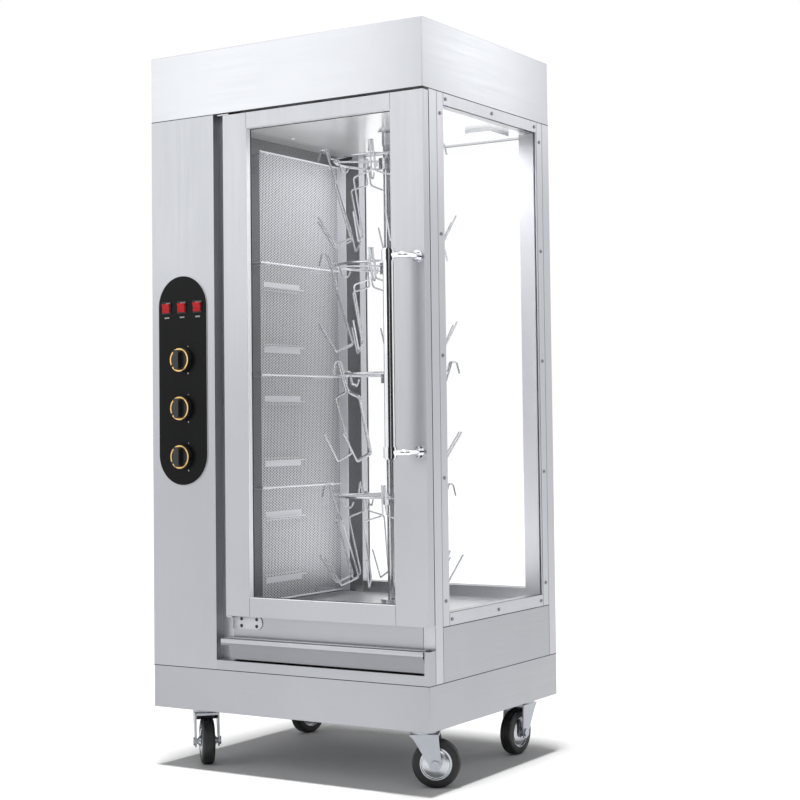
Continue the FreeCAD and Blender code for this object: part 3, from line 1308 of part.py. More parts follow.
def ring_rack(level):
    """A ring of rod on spokes, with a hub that clamps on the spindle.

    The ring is in arcs that are butted at the spokes.
    """
    bottom = level - RACK_HUB_DROP
    middle = spindle_point(level)
    arc = 360.0 / RACK_SPOKES
    hub = ring_between(spindle_point(bottom), spindle_point(bottom + RACK_HUB_HEIGHT),
                       RACK_HUB_RADIUS, SPINDLE_RADIUS)
    pieces = [hub]
    for index in range(RACK_SPOKES):
        turn = RACK_SPOKE_ANGLE + arc * index
        outward = Vector(math.cos(math.radians(turn)), math.sin(math.radians(turn)), 0)
        start = middle.add(Vector(outward).multiply(RACK_HUB_RADIUS))
        end = middle.add(Vector(outward).multiply(RACK_RADIUS - RACK_ROD_RADIUS))
        pieces.append(rod_between(start, end, RACK_ROD_RADIUS - FORK_SEAT_GAP * 4))
        circle = Part.Face(Part.Wire(Part.Circle(Vector(RACK_RADIUS, 0, 0), Y_AXIS,
                                                 RACK_ROD_RADIUS).toShape()))
        segment = circle.revolve(Vector(0, 0, 0), Z_AXIS, arc)
        segment.rotate(Vector(0, 0, 0), Z_AXIS, turn)
        segment.translate(middle)
        pieces.append(segment)
    return pieces


def fork_wires():
    """One meat fork, at the origin: two bent prongs and the hook between their necks.

    X runs outward from the spindle, and Z = 0 is the height of the rack's ring.
    """
    seat = RACK_ROD_RADIUS + FORK_WIRE_RADIUS + FORK_SEAT_GAP
    ring = RACK_RADIUS
    hook = bent_rod([
        Vector(ring + HOOK_TIP_REACH, 0, 0),
        Vector(ring + HOOK_TOP_REACH, 0, HOOK_TOP_RISE),
        Vector(ring + HOOK_TOP_REACH - HOOK_TOP_LENGTH, 0, HOOK_TOP_RISE),
        Vector(ring + HOOK_SEAT_REACH, 0, seat),
        Vector(ring - HOOK_SEAT_SETBACK, 0, seat),
        Vector(ring - HOOK_BACK_SETBACK, 0, -HOOK_BACK_DROP),
        Vector(ring - HOOK_LOW_SETBACK, 0, -HOOK_DROP),
        Vector(ring - HOOK_END_SETBACK, 0, -HOOK_END_DROP),
    ], [FORK_HOOK_BEND] * 6, FORK_WIRE_RADIUS)
    wires = [hook]
    for side in (-1, 1):
        neck = side * FORK_NECK_SPREAD
        shoulder = side * FORK_SHOULDER_SPREAD
        foot = side * FORK_FOOT_SPREAD
        wires.append(bent_rod([
            Vector(ring + FORK_TOP_REACH, neck, FORK_TOP_RISE),
            Vector(ring - FORK_NECK_SETBACK, neck, -FORK_NECK_DROP),
            Vector(ring - FORK_SHOULDER_SETBACK, shoulder, -FORK_SHOULDER_DROP),
            Vector(ring - FORK_FOOT_SETBACK, foot, -FORK_FOOT_DROP),
            Vector(ring, foot, -FORK_VALLEY_DROP),
            Vector(ring + FORK_TIP_REACH, foot, -FORK_TIP_DROP),
        ], [FORK_NECK_BEND, FORK_SHOULDER_BEND, FORK_FOOT_BEND, FORK_TINE_BEND],
            FORK_WIRE_RADIUS))
    return wires


def meat_forks():
    """Forks hung round each rack; each is made of three wires that touch at the neck."""
    fork = Part.makeCompound(fork_wires())
    forks = []
    for level, start in zip(RACK_LEVELS, FORK_ANGLES):
        for index in range(FORK_COUNT):
            copy = fork.copy()
            copy.rotate(Vector(0, 0, 0), Z_AXIS, start + 360.0 / FORK_COUNT * index)
            copy.translate(spindle_point(level))
            forks += copy.Solids
    return forks


def gearbox_bottom():
    return BODY_TOP + SHEET + MOTOR_PLATE


def gear_motor():
    """The motor plate across the chamber's top rails, the gearbox and the motor can."""
    half_x, half_y = GEARBOX_SIZE[0] / 2, GEARBOX_SIZE[1] / 2
    bottom = gearbox_bottom()
    plate = block(SPINDLE_X - half_x - MOTOR_PLATE_MARGIN, SPINDLE_X + half_x + MOTOR_PLATE_MARGIN,
                  BODY_Y + RAIL_DEPTH / 2, SIDE_BACK + RAIL_DEPTH / 2, bottom - MOTOR_PLATE,
                  bottom)
    box = block(SPINDLE_X - half_x, SPINDLE_X + half_x, SPINDLE_Y - half_y, SPINDLE_Y + half_y,
                bottom, bottom + GEARBOX_SIZE[2])
    can_z = bottom + MOTOR_RADIUS
    can = rod_between(Vector(SPINDLE_X - half_x, SPINDLE_Y, can_z),
                      Vector(SPINDLE_X - half_x - MOTOR_LENGTH, SPINDLE_Y, can_z), MOTOR_RADIUS)
    bore = rod_between(spindle_point(BODY_TOP - SEAM),
                       spindle_point(bottom + GEARBOX_SIZE[2] / 2 + SEAM),
                       DRIVE_SHAFT_RADIUS + RUNNING_CLEARANCE)
    return [plate.cut(bore), box.cut(bore), can]


# Ignition module and cable gland

def ignition_module():
    x0 = LEFT + SHEET
    y0 = FRONT + IGNITION_SETBACK
    return block(x0, x0 + IGNITION_SIZE[0], y0, y0 + IGNITION_SIZE[1],
                 IGNITION_HEIGHT, IGNITION_HEIGHT + IGNITION_SIZE[2])


def cable_gland():
    x = LEFT + GLAND_INSET
    outer = rod_between(Vector(x, BACK, GLAND_HEIGHT), Vector(x, BACK + GLAND_REACH, GLAND_HEIGHT),
                        GLAND_RADIUS)
    inner = rod_between(Vector(x, BACK - SHEET - GLAND_INSIDE, GLAND_HEIGHT),
                        Vector(x, BACK, GLAND_HEIGHT), GLAND_RADIUS - PLATE)
    bore = rod_between(Vector(x, BACK - SHEET - GLAND_INSIDE - SEAM, GLAND_HEIGHT),
                       Vector(x, BACK + GLAND_REACH + SEAM, GLAND_HEIGHT), GLAND_BORE)
    return fuse_all([outer, inner]).cut(bore)


# Castors

def castor_place(corner):
    side_x, side_y = CASTOR_CORNERS[corner]
    y = FRONT + CASTOR_FRONT_INSET if side_y < 0 else BACK - CASTOR_REAR_INSET
    return Vector(side_x * (RIGHT - CASTOR_SIDE_INSET), y, 0)


def at_castor(shape, corner, turned):
    """Moves a shape that was made round the origin to its castor."""
    if turned:
        shape.rotate(Vector(0, 0, 0), Z_AXIS, CASTOR_ANGLES[corner])
    shape.translate(castor_place(corner))
    return shape


def race_bottom():
    return CASTOR_HEIGHT - CASTOR_PLATE_THICKNESS - RACE_HEIGHT


def crown_top():
    return race_bottom() - SWIVEL_GAP


def castor_plate(corner):
    half_x, half_y = CASTOR_PLATE_SIZE[0] / 2, CASTOR_PLATE_SIZE[1] / 2
    under_plate = CASTOR_HEIGHT - CASTOR_PLATE_THICKNESS
    pieces = [block(-half_x, half_x, -half_y, half_y, under_plate, CASTOR_HEIGHT),
              rod_between(Vector(0, 0, race_bottom()), Vector(0, 0, under_plate), RACE_RADIUS)]
    for side_x in (-1, 1):
        for side_y in (-1, 1):
            x = side_x * (half_x - CASTOR_BOLT_INSET)
            y = side_y * (half_y - CASTOR_BOLT_INSET)
            pieces.append(rod_between(Vector(x, y, under_plate - CASTOR_BOLT_HEIGHT),
                                      Vector(x, y, under_plate), CASTOR_BOLT_RADIUS))
    plate = fuse_all(pieces).cut(rod_between(Vector(0, 0, 0), Vector(0, 0, CASTOR_HEIGHT + SEAM),
                                             KING_PIN_RADIUS + RUNNING_CLEARANCE))
    return at_castor(plate, corner, False)


def leg_offset():
    """Inner face of a fork leg, from the wheel's middle."""
    return WHEEL_WIDTH / 2 + LEG_WHEEL_GAP


def crown_web(top, outer):
    """The plate that joins the legs at the back and follows their slanting edge."""
    waist_z = top - LEG_WAIST_DROP
    low_z = top - CROWN_WEB_HEIGHT
    slope = (CASTOR_TRAIL - LEG_FOOT_RADIUS + LEG_WAIST_BACK) / (waist_z - WHEEL_RADIUS)
    low_x = -LEG_WAIST_BACK + slope * (waist_z - low_z)
    edge = [(-CROWN_BACK, top), (-LEG_WAIST_BACK, waist_z), (low_x, low_z)]
    outline = [Vector(x, -outer, z) for x, z in edge]
    outline += [Vector(x + LEG_THICKNESS, -outer, z) for x, z in reversed(edge)]
    return prism(outline, Vector(0, 2 * outer, 0))


def castor_fork(corner):
    """The swivelling part: king pin, crown, web, two legs and the axle."""
    top = crown_top()
    low = top - CROWN_HEIGHT
    inner = leg_offset()
    outer = inner + LEG_THICKNESS
    axle_z = WHEEL_RADIUS
    pieces = [
        block(-CROWN_BACK, CROWN_FRONT, -outer, outer, low, top),
        crown_web(top, outer),
        rod_between(Vector(0, 0, low), Vector(0, 0, CASTOR_HEIGHT - SEAM), KING_PIN_RADIUS),
        rod_between(Vector(CASTOR_TRAIL, -outer, axle_z), Vector(CASTOR_TRAIL, outer, axle_z),
                    AXLE_RADIUS),
    ]
    for side in (-1, 1):
        y = inner if side > 0 else -outer
        outline = [Vector(-CROWN_BACK, y, top), Vector(CROWN_FRONT, y, top),
                   Vector(CASTOR_TRAIL + LEG_FOOT_RADIUS, y, axle_z),
                   Vector(CASTOR_TRAIL - LEG_FOOT_RADIUS, y, axle_z),
                   Vector(-LEG_WAIST_BACK, y, top - LEG_WAIST_DROP)]
        pieces.append(prism(outline, Vector(0, LEG_THICKNESS, 0)))
        pieces.append(rod_between(Vector(CASTOR_TRAIL, y, axle_z),
                                  Vector(CASTOR_TRAIL, y + LEG_THICKNESS, axle_z),
                                  LEG_FOOT_RADIUS))
        pieces.append(rod_between(Vector(CASTOR_TRAIL, side * outer, axle_z),
                                  Vector(CASTOR_TRAIL, side * (outer + AXLE_HEAD_LENGTH), axle_z),
                                  AXLE_HEAD_RADIUS))
    return at_castor(fuse_all(pieces), corner, True)


def castor_wheel(corner):
    """The wheel: a hub and web, and the tyre round them as a second solid."""
    def turned(outline):
        face = Part.Face(Part.makePolygon(outline + [outline[0]]))
        return face.revolve(Vector(0, 0, 0), Y_AXIS, 360)
    half = WHEEL_WIDTH / 2
    hub_half = leg_offset() - HUB_SIDE_GAP
    rim = WHEEL_RADIUS - TYRE_DEPTH
    web_half = WHEEL_WEB / 2
    bore = AXLE_RADIUS + RUNNING_CLEARANCE
    hub = turned([Vector(bore, -hub_half, 0), Vector(HUB_RADIUS, -hub_half, 0),
                  Vector(HUB_RADIUS, -web_half, 0), Vector(rim - PLATE, -web_half, 0),
                  Vector(rim - PLATE, -half, 0), Vector(rim, -half, 0), Vector(rim, half, 0),
                  Vector(rim - PLATE, half, 0), Vector(rim - PLATE, web_half, 0),
                  Vector(HUB_RADIUS, web_half, 0), Vector(HUB_RADIUS, hub_half, 0),
                  Vector(bore, hub_half, 0)])
    tyre = Part.makeCylinder(WHEEL_RADIUS, WHEEL_WIDTH, Vector(0, -half, 0), Y_AXIS)
    tyre = tyre.makeFillet(TYRE_ROUND, [edge for edge in tyre.Edges if len(edge.Vertexes) == 1])
    tyre = tyre.cut(Part.makeCylinder(rim, WHEEL_WIDTH, Vector(0, -half, 0), Y_AXIS))
    wheel = Part.makeCompound([hub, tyre])
    wheel.translate(Vector(CASTOR_TRAIL, 0, WHEEL_RADIUS))
    return at_castor(wheel, corner, True)


# Nodes

def build():
    save("base_plinth", [base_plinth()])
    save("top_hood", [top_hood()])
    save("column_front_panel", [column_front_panel()])
    save("left_side_panel", [left_side_panel()])
    save("rear_panels", rear_panels())
    save("lower_side_panel", [lower_side_panel()])
    save("lower_front_panels", lower_front_panels())
    save("cabinet_frame", cabinet_frame())
    save("window_trims", window_trims())
    save("side_window_glass", [side_window_glass()])
    save("rear_window_glass", [rear_window_glass()])
    save("panel_screws", panel_screws())
    save("burner_wall", [burner_wall()])
    save("cavity_floor", [cavity_floor()])
    save("cavity_ceiling", [cavity_ceiling()])
    save("guard_screen", guard_screen())
    save("burner_bodies", [burner_body(level) for level in BURNER_LEVELS])
    save("burner_tiles", [burner_tile(level) for level in BURNER_LEVELS])
    save("burner_brackets", burner_brackets())
    save("gas_manifold", gas_manifold())
    save("gas_valves", [gas_valve(height) for height in knob_heights()])
    save("gas_tubes", [feed_tube(*pair) for pair in zip(knob_heights(), BURNER_LEVELS)])
    save("gas_inlet", [gas_inlet()])
    save("cable_gland", [cable_gland()])
    save("ignition_module", [ignition_module()])
    save("gear_motor", gear_motor())
    save("control_fascia", [control_fascia()])
    save("switch_housings", [switch_housing(place) for place in switch_places()])
    save("hinge_plates", hinge_plates())
    save("door_catches", door_catches())
    save("lamp_housing", [lamp_housing()])
    save("lamp_cover", [lamp_cover()])
    save("tray_runners", tray_runners())
    save("spindle_bearings", spindle_bearings())
    save("castor_plates", [castor_plate(corner) for corner in CASTOR_CORNERS])
    save("door_frame", door_frame())
    save("door_glass", [door_glass()])
    save("door_gasket", door_gasket())
    save("handle_bar", [handle_bar()])
    save("handle_brackets", handle_brackets())
    save("tray_front", [tray_front()])
    save("drip_tray", [drip_tray()])
    save("spindle", [spindle()])
    save("drive_coupling", drive_coupling())
    save("ring_racks", [piece for level in RACK_LEVELS for piece in ring_rack(level)])
    save("meat_forks", meat_forks())
    for number, height in enumerate(knob_heights(), 1):
        save("knob_%d" % number, [knob(height)])
    for number, place in enumerate(switch_places(), 1):
        save("rocker_%d" % number, [rocker(place)])
    for corner in CASTOR_CORNERS:
        save("castor_fork_" + corner, [castor_fork(corner)])
        save("castor_wheel_" + corner, [castor_wheel(corner)])


build()
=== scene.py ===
"""A gas chicken rotisserie on castors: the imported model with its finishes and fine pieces.

Sizes in the classes are millimetres, in the same frame as the solids.
"""

import logging
import math
from dataclasses import dataclass, field
from enum import Enum
from typing import Callable, Sequence

import bpy
from mathutils import Matrix, Vector


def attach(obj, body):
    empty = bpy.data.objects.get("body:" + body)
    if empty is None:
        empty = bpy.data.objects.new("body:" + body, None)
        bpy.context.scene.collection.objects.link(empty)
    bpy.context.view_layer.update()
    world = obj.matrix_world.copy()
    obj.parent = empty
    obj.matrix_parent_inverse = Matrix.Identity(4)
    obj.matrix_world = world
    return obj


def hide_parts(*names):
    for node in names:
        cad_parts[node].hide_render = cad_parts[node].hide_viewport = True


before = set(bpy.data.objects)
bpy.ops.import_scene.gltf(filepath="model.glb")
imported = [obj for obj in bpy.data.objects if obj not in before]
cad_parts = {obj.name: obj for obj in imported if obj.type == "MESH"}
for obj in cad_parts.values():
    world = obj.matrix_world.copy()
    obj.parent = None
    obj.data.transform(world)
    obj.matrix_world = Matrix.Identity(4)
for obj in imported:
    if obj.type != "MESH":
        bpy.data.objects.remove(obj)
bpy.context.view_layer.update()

MM = 0.001
ALONG = 0.99
ACROSS = 0.1
WELD = 0.01
SHARP_DEGREES = 40.0
Point = tuple[float, float, float]
Colour = tuple[float, float, float]
Span = tuple[float, float]
log = logging.getLogger("rotisserie")


# Modelling by operators

class Kind(Enum):
    """What an edit-mode selection is made of."""

    FACES = "FACE"
    EDGES = "EDGE"


class Axis(Enum):
    """The direction that a round primitive's axis takes."""

    X = (0.0, math.pi / 2, 0.0)
    Y = (math.pi / 2, 0.0, 0.0)
    Z = (0.0, 0.0, 0.0)


def deselect() -> None:
    """Leaves edit mode and deselects every object."""
    if bpy.context.object is not None and bpy.context.object.mode != "OBJECT":
        bpy.ops.object.mode_set(mode="OBJECT")
    bpy.ops.object.select_all(action="DESELECT")


def metres(point: Sequence[float]) -> Vector:
    """A point given in millimetres, in metres."""
    return Vector(point) * MM


class Piece:
    """One new piece while it is modelled."""

    def __init__(self, name: str) -> None:
        """Takes over the primitive that was just added.

        Args:
            name: The piece's name.
        """
        self.item: bpy.types.Object = bpy.context.object
        self.item.name = name
        self.item.data.name = name
        self.place()

    @classmethod
    def block(cls, name: str, low: Point, high: Point) -> "Piece":
        """A block between two corners.

        Args:
            name: The piece's name.
            low: Its lowest corner.
            high: Its highest corner.

        Returns:
            The new piece.
        """
        deselect()
        middle = (Vector(low) + Vector(high)) / 2
        bpy.ops.mesh.primitive_cube_add(size=1, location=metres(middle))
        bpy.context.object.scale = metres(Vector(high) - Vector(low))
        return cls(name)

    @classmethod
    def rod(cls, name: str, centre: Point, radius: float, length: float, axis: Axis,
            sides: int) -> "Piece":
        """A round bar along one axis.

        Args:
            name: The piece's name.
            centre: Its middle.
            radius: Its radius.
            length: Its length.
            axis: The direction it lies in.
            sides: How many sides the round has.

        Returns:
            The new piece.
        """
        deselect()
        bpy.ops.mesh.primitive_cylinder_add(vertices=sides, radius=radius * MM, depth=length * MM,
                                            location=metres(centre), rotation=axis.value)
        return cls(name)

    @classmethod
    def disc(cls, name: str, centre: Point, radius: float, axis: Axis, sides: int) -> "Piece":
        """A flat round face.

        Args:
            name: The piece's name.
            centre: Its middle.
            radius: Its radius.
            axis: The direction it faces.
            sides: How many sides it has.

        Returns:
            The new piece.
        """
        deselect()
        bpy.ops.mesh.primitive_circle_add(vertices=sides, radius=radius * MM, fill_type="NGON",
                                          location=metres(centre), rotation=axis.value)
        return cls(name)

    def place(self) -> None:
        """Puts the object's place, turn and scale into its mesh."""
        self.awake()
        bpy.ops.object.transform_apply(location=True, rotation=True, scale=True)

    def awake(self) -> None:
        """Makes this the only selected object, in object mode."""
        deselect()
        self.item.select_set(True)
        bpy.context.view_layer.objects.active = self.item

    def pick(self, kind: Kind, test: Callable[[Vector, Vector], bool]) -> None:
        """Selects parts of the mesh and stays in edit mode.

        Args:
            kind: Faces or edges.
            test: Takes a middle in millimetres and a face's normal or an edge's direction,
                and says whether it is picked.
        """
        self.awake()
        bpy.ops.object.mode_set(mode="EDIT")
        bpy.ops.mesh.select_mode(type=kind.value)
        bpy.ops.mesh.select_all(action="DESELECT")
        bpy.ops.object.mode_set(mode="OBJECT")
        mesh = self.item.data
        if kind is Kind.FACES:
            for face in mesh.polygons:
                face.select = test(face.center / MM, face.normal)
        else:
            for edge in mesh.edges:
                ends = [mesh.vertices[number] for number in edge.vertices]
                edge.select = test((ends[0].co + ends[1].co) / 2 / MM,
                                   (ends[1].co - ends[0].co).normalized())
        bpy.ops.object.mode_set(mode="EDIT")

    def everything(self) -> None:
        """Selects the whole mesh and stays in edit mode."""
        self.awake()
        bpy.ops.object.mode_set(mode="EDIT")
        bpy.ops.mesh.select_all(action="SELECT")

    def modify(self, kind: str, **settings: object) -> "Piece":
        """Adds a modifier and applies it.

        Args:
            kind: The modifier's type.
            **settings: Its settings.

        Returns:
            This piece.
        """
        self.awake()
        modifier = self.item.modifiers.new(kind.title(), kind)
        for name, value in settings.items():
            setattr(modifier, name, value)
        bpy.ops.object.modifier_apply(modifier=modifier.name)
        return self

    def join(self, others: Sequence["Piece"]) -> "Piece":
        """Joins other pieces into this one.

        Args:
            others: The pieces to take in.

        Returns:
            This piece.
        """
        self.awake()
        for other in others:
            other.item.select_set(True)
        bpy.ops.object.join()
        return self

    def outward(self) -> "Piece":
        """Merges doubles and points every face outwards."""
        self.everything()
        bpy.ops.mesh.remove_doubles(threshold=WELD * MM)
        bpy.ops.mesh.normals_make_consistent(inside=False)
        bpy.ops.object.mode_set(mode="OBJECT")
        return self

    def soften(self, width: float, segments: int = 2) -> "Piece":
        """Rounds the sharp edges, and shades the rest smooth."""
        self.modify("BEVEL", width=width * MM, segments=segments, limit_method="ANGLE",
                    angle_limit=math.radians(SHARP_DEGREES), harden_normals=False)
        return self.smooth()

    def smooth(self, angle: float = 35.0) -> "Piece":
        """Shades the piece smooth up to an angle."""
        self.awake()
        bpy.ops.object.shade_smooth_by_angle(angle=math.radians(angle))
        return self

    def turn(self, angle: float, centre: Point, axis: str) -> "Piece":
        """Turns the whole mesh round a point.

        Args:
            angle: Degrees, by the right-hand rule.
            centre: The point it turns round.
            axis: X, Y or Z.

        Returns:
            This piece.
        """
        middle = metres(centre)
        turned = Matrix.Translation(middle) @ Matrix.Rotation(math.radians(angle), 4, axis)
        self.item.matrix_world = turned @ Matrix.Translation(-middle)
        self.place()
        return self

    def move(self, shift: Sequence[float]) -> "Piece":
        """Moves the whole mesh."""
        self.item.location = metres(shift)
        self.place()
        return self

    def copy(self, name: str) -> "Piece":
        """A copy with a mesh of its own."""
        self.awake()
        bpy.ops.object.duplicate(linked=False)
        return Piece(name)

    def finish(self, body: str, slot: str, material: bpy.types.Material,
               replaces: Sequence[str] = ()) -> "Piece":
        """Gives the piece its body, its finish and the node it stands for.

        Args:
            body: The body it rides on.
            slot: Not used; the material slot it would take its finish from.
            material: Its material.
            replaces: The nodes it stands for.

        Returns:
            This piece.
        """
        self.item.data.materials.clear()
        self.item.data.materials.append(material)
        if replaces:
            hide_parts(*replaces)
        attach(self.item, body)
        log.info("piece %s on %s, %d faces", self.item.name, body, len(self.item.data.polygons))
        return self


# Finishes

class Grain(Enum):
    """The way a sheet is brushed, as the stretch of its grain along X, Y and Z."""

    UPRIGHT = (260.0, 260.0, 4.0)
    LEVEL = (4.0, 4.0, 300.0)
    PLAIN = (120.0, 120.0, 120.0)


class Shade:
    """A material on Object coordinates, built round one Principled shader."""

    def __init__(self, name: str, colour: Colour, roughness: float, metallic: float = 0.0) -> None:
        """Starts the material.

        Args:
            name: The material's name.
            colour: Its base colour, linear.
            roughness: Its roughness.
            metallic: 1 for bare metal.
        """
        self.material = bpy.data.materials.new(name)
        self.material.use_nodes = True
        self.tree = self.material.node_tree
        self.shader = self.tree.nodes["Principled BSDF"]
        self.set("Base Color", (*colour, 1.0))
        self.set("Roughness", roughness)
        self.set("Metallic", metallic)
        self.colour = colour
        self.place = self.tree.nodes.new("ShaderNodeTexCoord")

    def set(self, socket: str, value: object) -> None:
        """Sets one of the shader's own sockets."""
        self.shader.inputs[socket].default_value = value

    def node(self, kind: str, source: bpy.types.NodeSocket, socket: str,
             **inputs: object) -> bpy.types.Node:
        """Adds a node that another feeds.

        Args:
            kind: Its type, after "ShaderNode".
            source: The output that feeds it.
            socket: The input that is fed.
            **inputs: Values of other inputs, with underscores for spaces.

        Returns:
            The new node.
        """
        node = self.tree.nodes.new(f"ShaderNode{kind}")
        for name, value in inputs.items():
            node.inputs[name.replace("_", " ")].default_value = value
        self.tree.links.new(source, node.inputs[socket])
        return node

    def noise(self, scale: Sequence[float], detail: float = 3.0,
              rough: float = 0.5) -> bpy.types.NodeSocket:
        """A stretched noise.

        Args:
            scale: How fine it is along each axis, in cells per metre.
            detail: How many octaves it has.
            rough: How strong the finer octaves are.

        Returns:
            Its value, from 0 to 1.
        """
        mapping = self.node("Mapping", self.place.outputs["Object"], "Vector", Scale=tuple(scale))
        noise = self.node("TexNoise", mapping.outputs["Vector"], "Vector", Scale=1.0,
                          Detail=detail, Roughness=rough)
        return noise.outputs["Fac"]

    def spread(self, value: bpy.types.NodeSocket, low: float, high: float,
               start: float = 0.3, end: float = 0.7) -> bpy.types.NodeSocket:
        """Maps a value from start..end to low..high."""
        node = self.node("MapRange", value, "Value", From_Min=start, From_Max=end,
                         To_Min=low, To_Max=high)
        return node.outputs["Result"]

    def vary(self, value: bpy.types.NodeSocket, low: Colour, high: Colour) -> None:
        """Runs the base colour between two colours by a value."""
        mix = self.tree.nodes.new("ShaderNodeMix")
        mix.data_type = "RGBA"
        mix.inputs["A"].default_value = (*low, 1.0)
        mix.inputs["B"].default_value = (*high, 1.0)
        self.tree.links.new(value, mix.inputs["Factor"])
        self.tree.links.new(mix.outputs["Result"], self.shader.inputs["Base Color"])

    def vary_tone(self, value: bpy.types.NodeSocket, amount: float) -> None:
        """Runs the base colour a little darker and lighter by a value."""
        low = tuple(part * (1 - amount) for part in self.colour)
        high = tuple(min(1.0, part * (1 + amount)) for part in self.colour)
        self.vary(self.spread(value, 0.0, 1.0), low, high)

    def vary_roughness(self, value: bpy.types.NodeSocket, low: float, high: float) -> None:
        """Runs the roughness between two values."""
        self.tree.links.new(self.spread(value, low, high), self.shader.inputs["Roughness"])

    def bump(self, value: bpy.types.NodeSocket, depth: float, strength: float = 1.0) -> None:
        """Raises the surface by a value.

        Args:
            value: The height, from 0 to 1.
            depth: How high 1 stands, in millimetres.
            strength: How much of it shows.
        """
        node = self.node("Bump", value, "Height", Strength=strength, Distance=depth * MM)
        self.tree.links.new(node.outputs["Normal"], self.shader.inputs["Normal"])


@dataclass(frozen=True)
class Finish:
    """What every finish has: its name and its tone."""

    name: str
    tone: Colour

    def build(self) -> bpy.types.Material:
        """Makes the material."""
        raise NotImplementedError


@dataclass(frozen=True)
class Steel(Finish):
    """Sheet steel, brushed one way, with a faint cloud over large sheets.

    Some inner sheets have a metal share below 1, which is tuned.
    """

    roughness: float
    grain: Grain = Grain.UPRIGHT
    cloud: float = 0.05
    depth: float = 0.01
    metal: float = 1.0
    cloud_scale: Point = (2.4, 2.4, 1.7)
    smoother: float = 0.85
    rougher: float = 1.18

    def build(self) -> bpy.types.Material:
        """Makes the material."""
        shade = Shade(self.name, self.tone, self.roughness, self.metal)
        shade.vary_tone(shade.noise(self.cloud_scale, 4.0, 0.6), self.cloud)
        brushed = shade.noise(self.grain.value, 4.0, 0.7)
        shade.vary_roughness(brushed, self.roughness * self.smoother,
                             self.roughness * self.rougher)
        shade.bump(brushed, self.depth)
        return shade.material


@dataclass(frozen=True)
class Wire(Finish):
    """Bright drawn rod and wire."""

    roughness: float
    cloud_scale: float = 30.0
    cloud: float = 0.05
    drawn_scale: float = 400.0
    smoother: float = 0.8
    rougher: float = 1.3

    def build(self) -> bpy.types.Material:
        """Makes the material."""
        shade = Shade(self.name, self.tone, self.roughness, 1.0)
        shade.vary_tone(shade.noise((self.cloud_scale,) * 3), self.cloud)
        drawn = shade.noise((self.drawn_scale,) * 3, 2.0)
        shade.vary_roughness(drawn, self.roughness * self.smoother, self.roughness * self.rougher)
        return shade.material


@dataclass(frozen=True)
class Moulded(Finish):
    """Moulded plastic or paint: a fine texture over one colour."""

    roughness: float
    texture: float = 900.0
    depth: float = 0.02
    shine: float = 0.5
    cloud_scale: float = 60.0
    cloud: float = 0.08
    smoother: float = 0.85
    rougher: float = 1.15
    bump_share: float = 0.6

    def build(self) -> bpy.types.Material:
        """Makes the material."""
        shade = Shade(self.name, self.tone, self.roughness)
        fine = shade.noise((self.texture,) * 3, 2.0)
        shade.vary_tone(shade.noise((self.cloud_scale,) * 3), self.cloud)
        shade.vary_roughness(fine, self.roughness * self.smoother, self.roughness * self.rougher)
        shade.bump(fine, self.depth, self.bump_share)
        shade.set("Specular IOR Level", self.shine)
        return shade.material


@dataclass(frozen=True)
class Glass(Finish):
    """A clear tempered pane."""

    cover: float
    roughness: float = 0.03
    wipe_scale: float = 5.0
    wiped: Span = (0.02, 0.05)
    index: float = 1.5

    def build(self) -> bpy.types.Material:
        """Makes the material."""
        shade = Shade(self.name, self.tone, self.roughness)
        shade.vary_roughness(shade.noise((self.wipe_scale,) * 3), *self.wiped)
        shade.set("Alpha", self.cover)
        shade.set("IOR", self.index)
        return shade.material


@dataclass(frozen=True)
class Lit(Finish):
    """A translucent piece that glows a little."""

    roughness: float
    glow: float
    cloud_scale: float = 150.0
    cloud: float = 0.1
    shine: float = 0.15

    def build(self) -> bpy.types.Material:
        """Makes the material."""
        shade = Shade(self.name, self.tone, self.roughness)
        shade.vary_tone(shade.noise((self.cloud_scale,) * 3), self.cloud)
        shade.set("Emission Color", (*self.tone, 1.0))
        shade.set("Emission Strength", self.glow)
        shade.set("Specular IOR Level", self.shine)
        return shade.material


@dataclass(frozen=True)
class Tile(Finish):
    """Ceramic burner tile with rows of fine ports, each darkened with painted shade over its bump.
    """

    pitch: float = 3.0
    roughness: float = 0.85
    port_edge: Span = (0.22, 0.34)
    port_shade_tone: float = 0.25
    port_depth: float = 0.6

    def build(self) -> bpy.types.Material:
        """Makes the material."""
        shade = Shade(self.name, self.tone, self.roughness)
        cells = shade.node("TexVoronoi", shade.place.outputs["Object"], "Vector",
                           Scale=1 / (self.pitch * MM), Randomness=0.0)
        port = shade.spread(cells.outputs["Distance"], 0.0, 1.0, *self.port_edge)
        # The ports are darkened: painted shade in the holes.
        dark = tuple(part * self.port_shade_tone for part in self.tone)
        shade.vary(port, dark, self.tone)
        shade.bump(port, self.port_depth)
        return shade.material


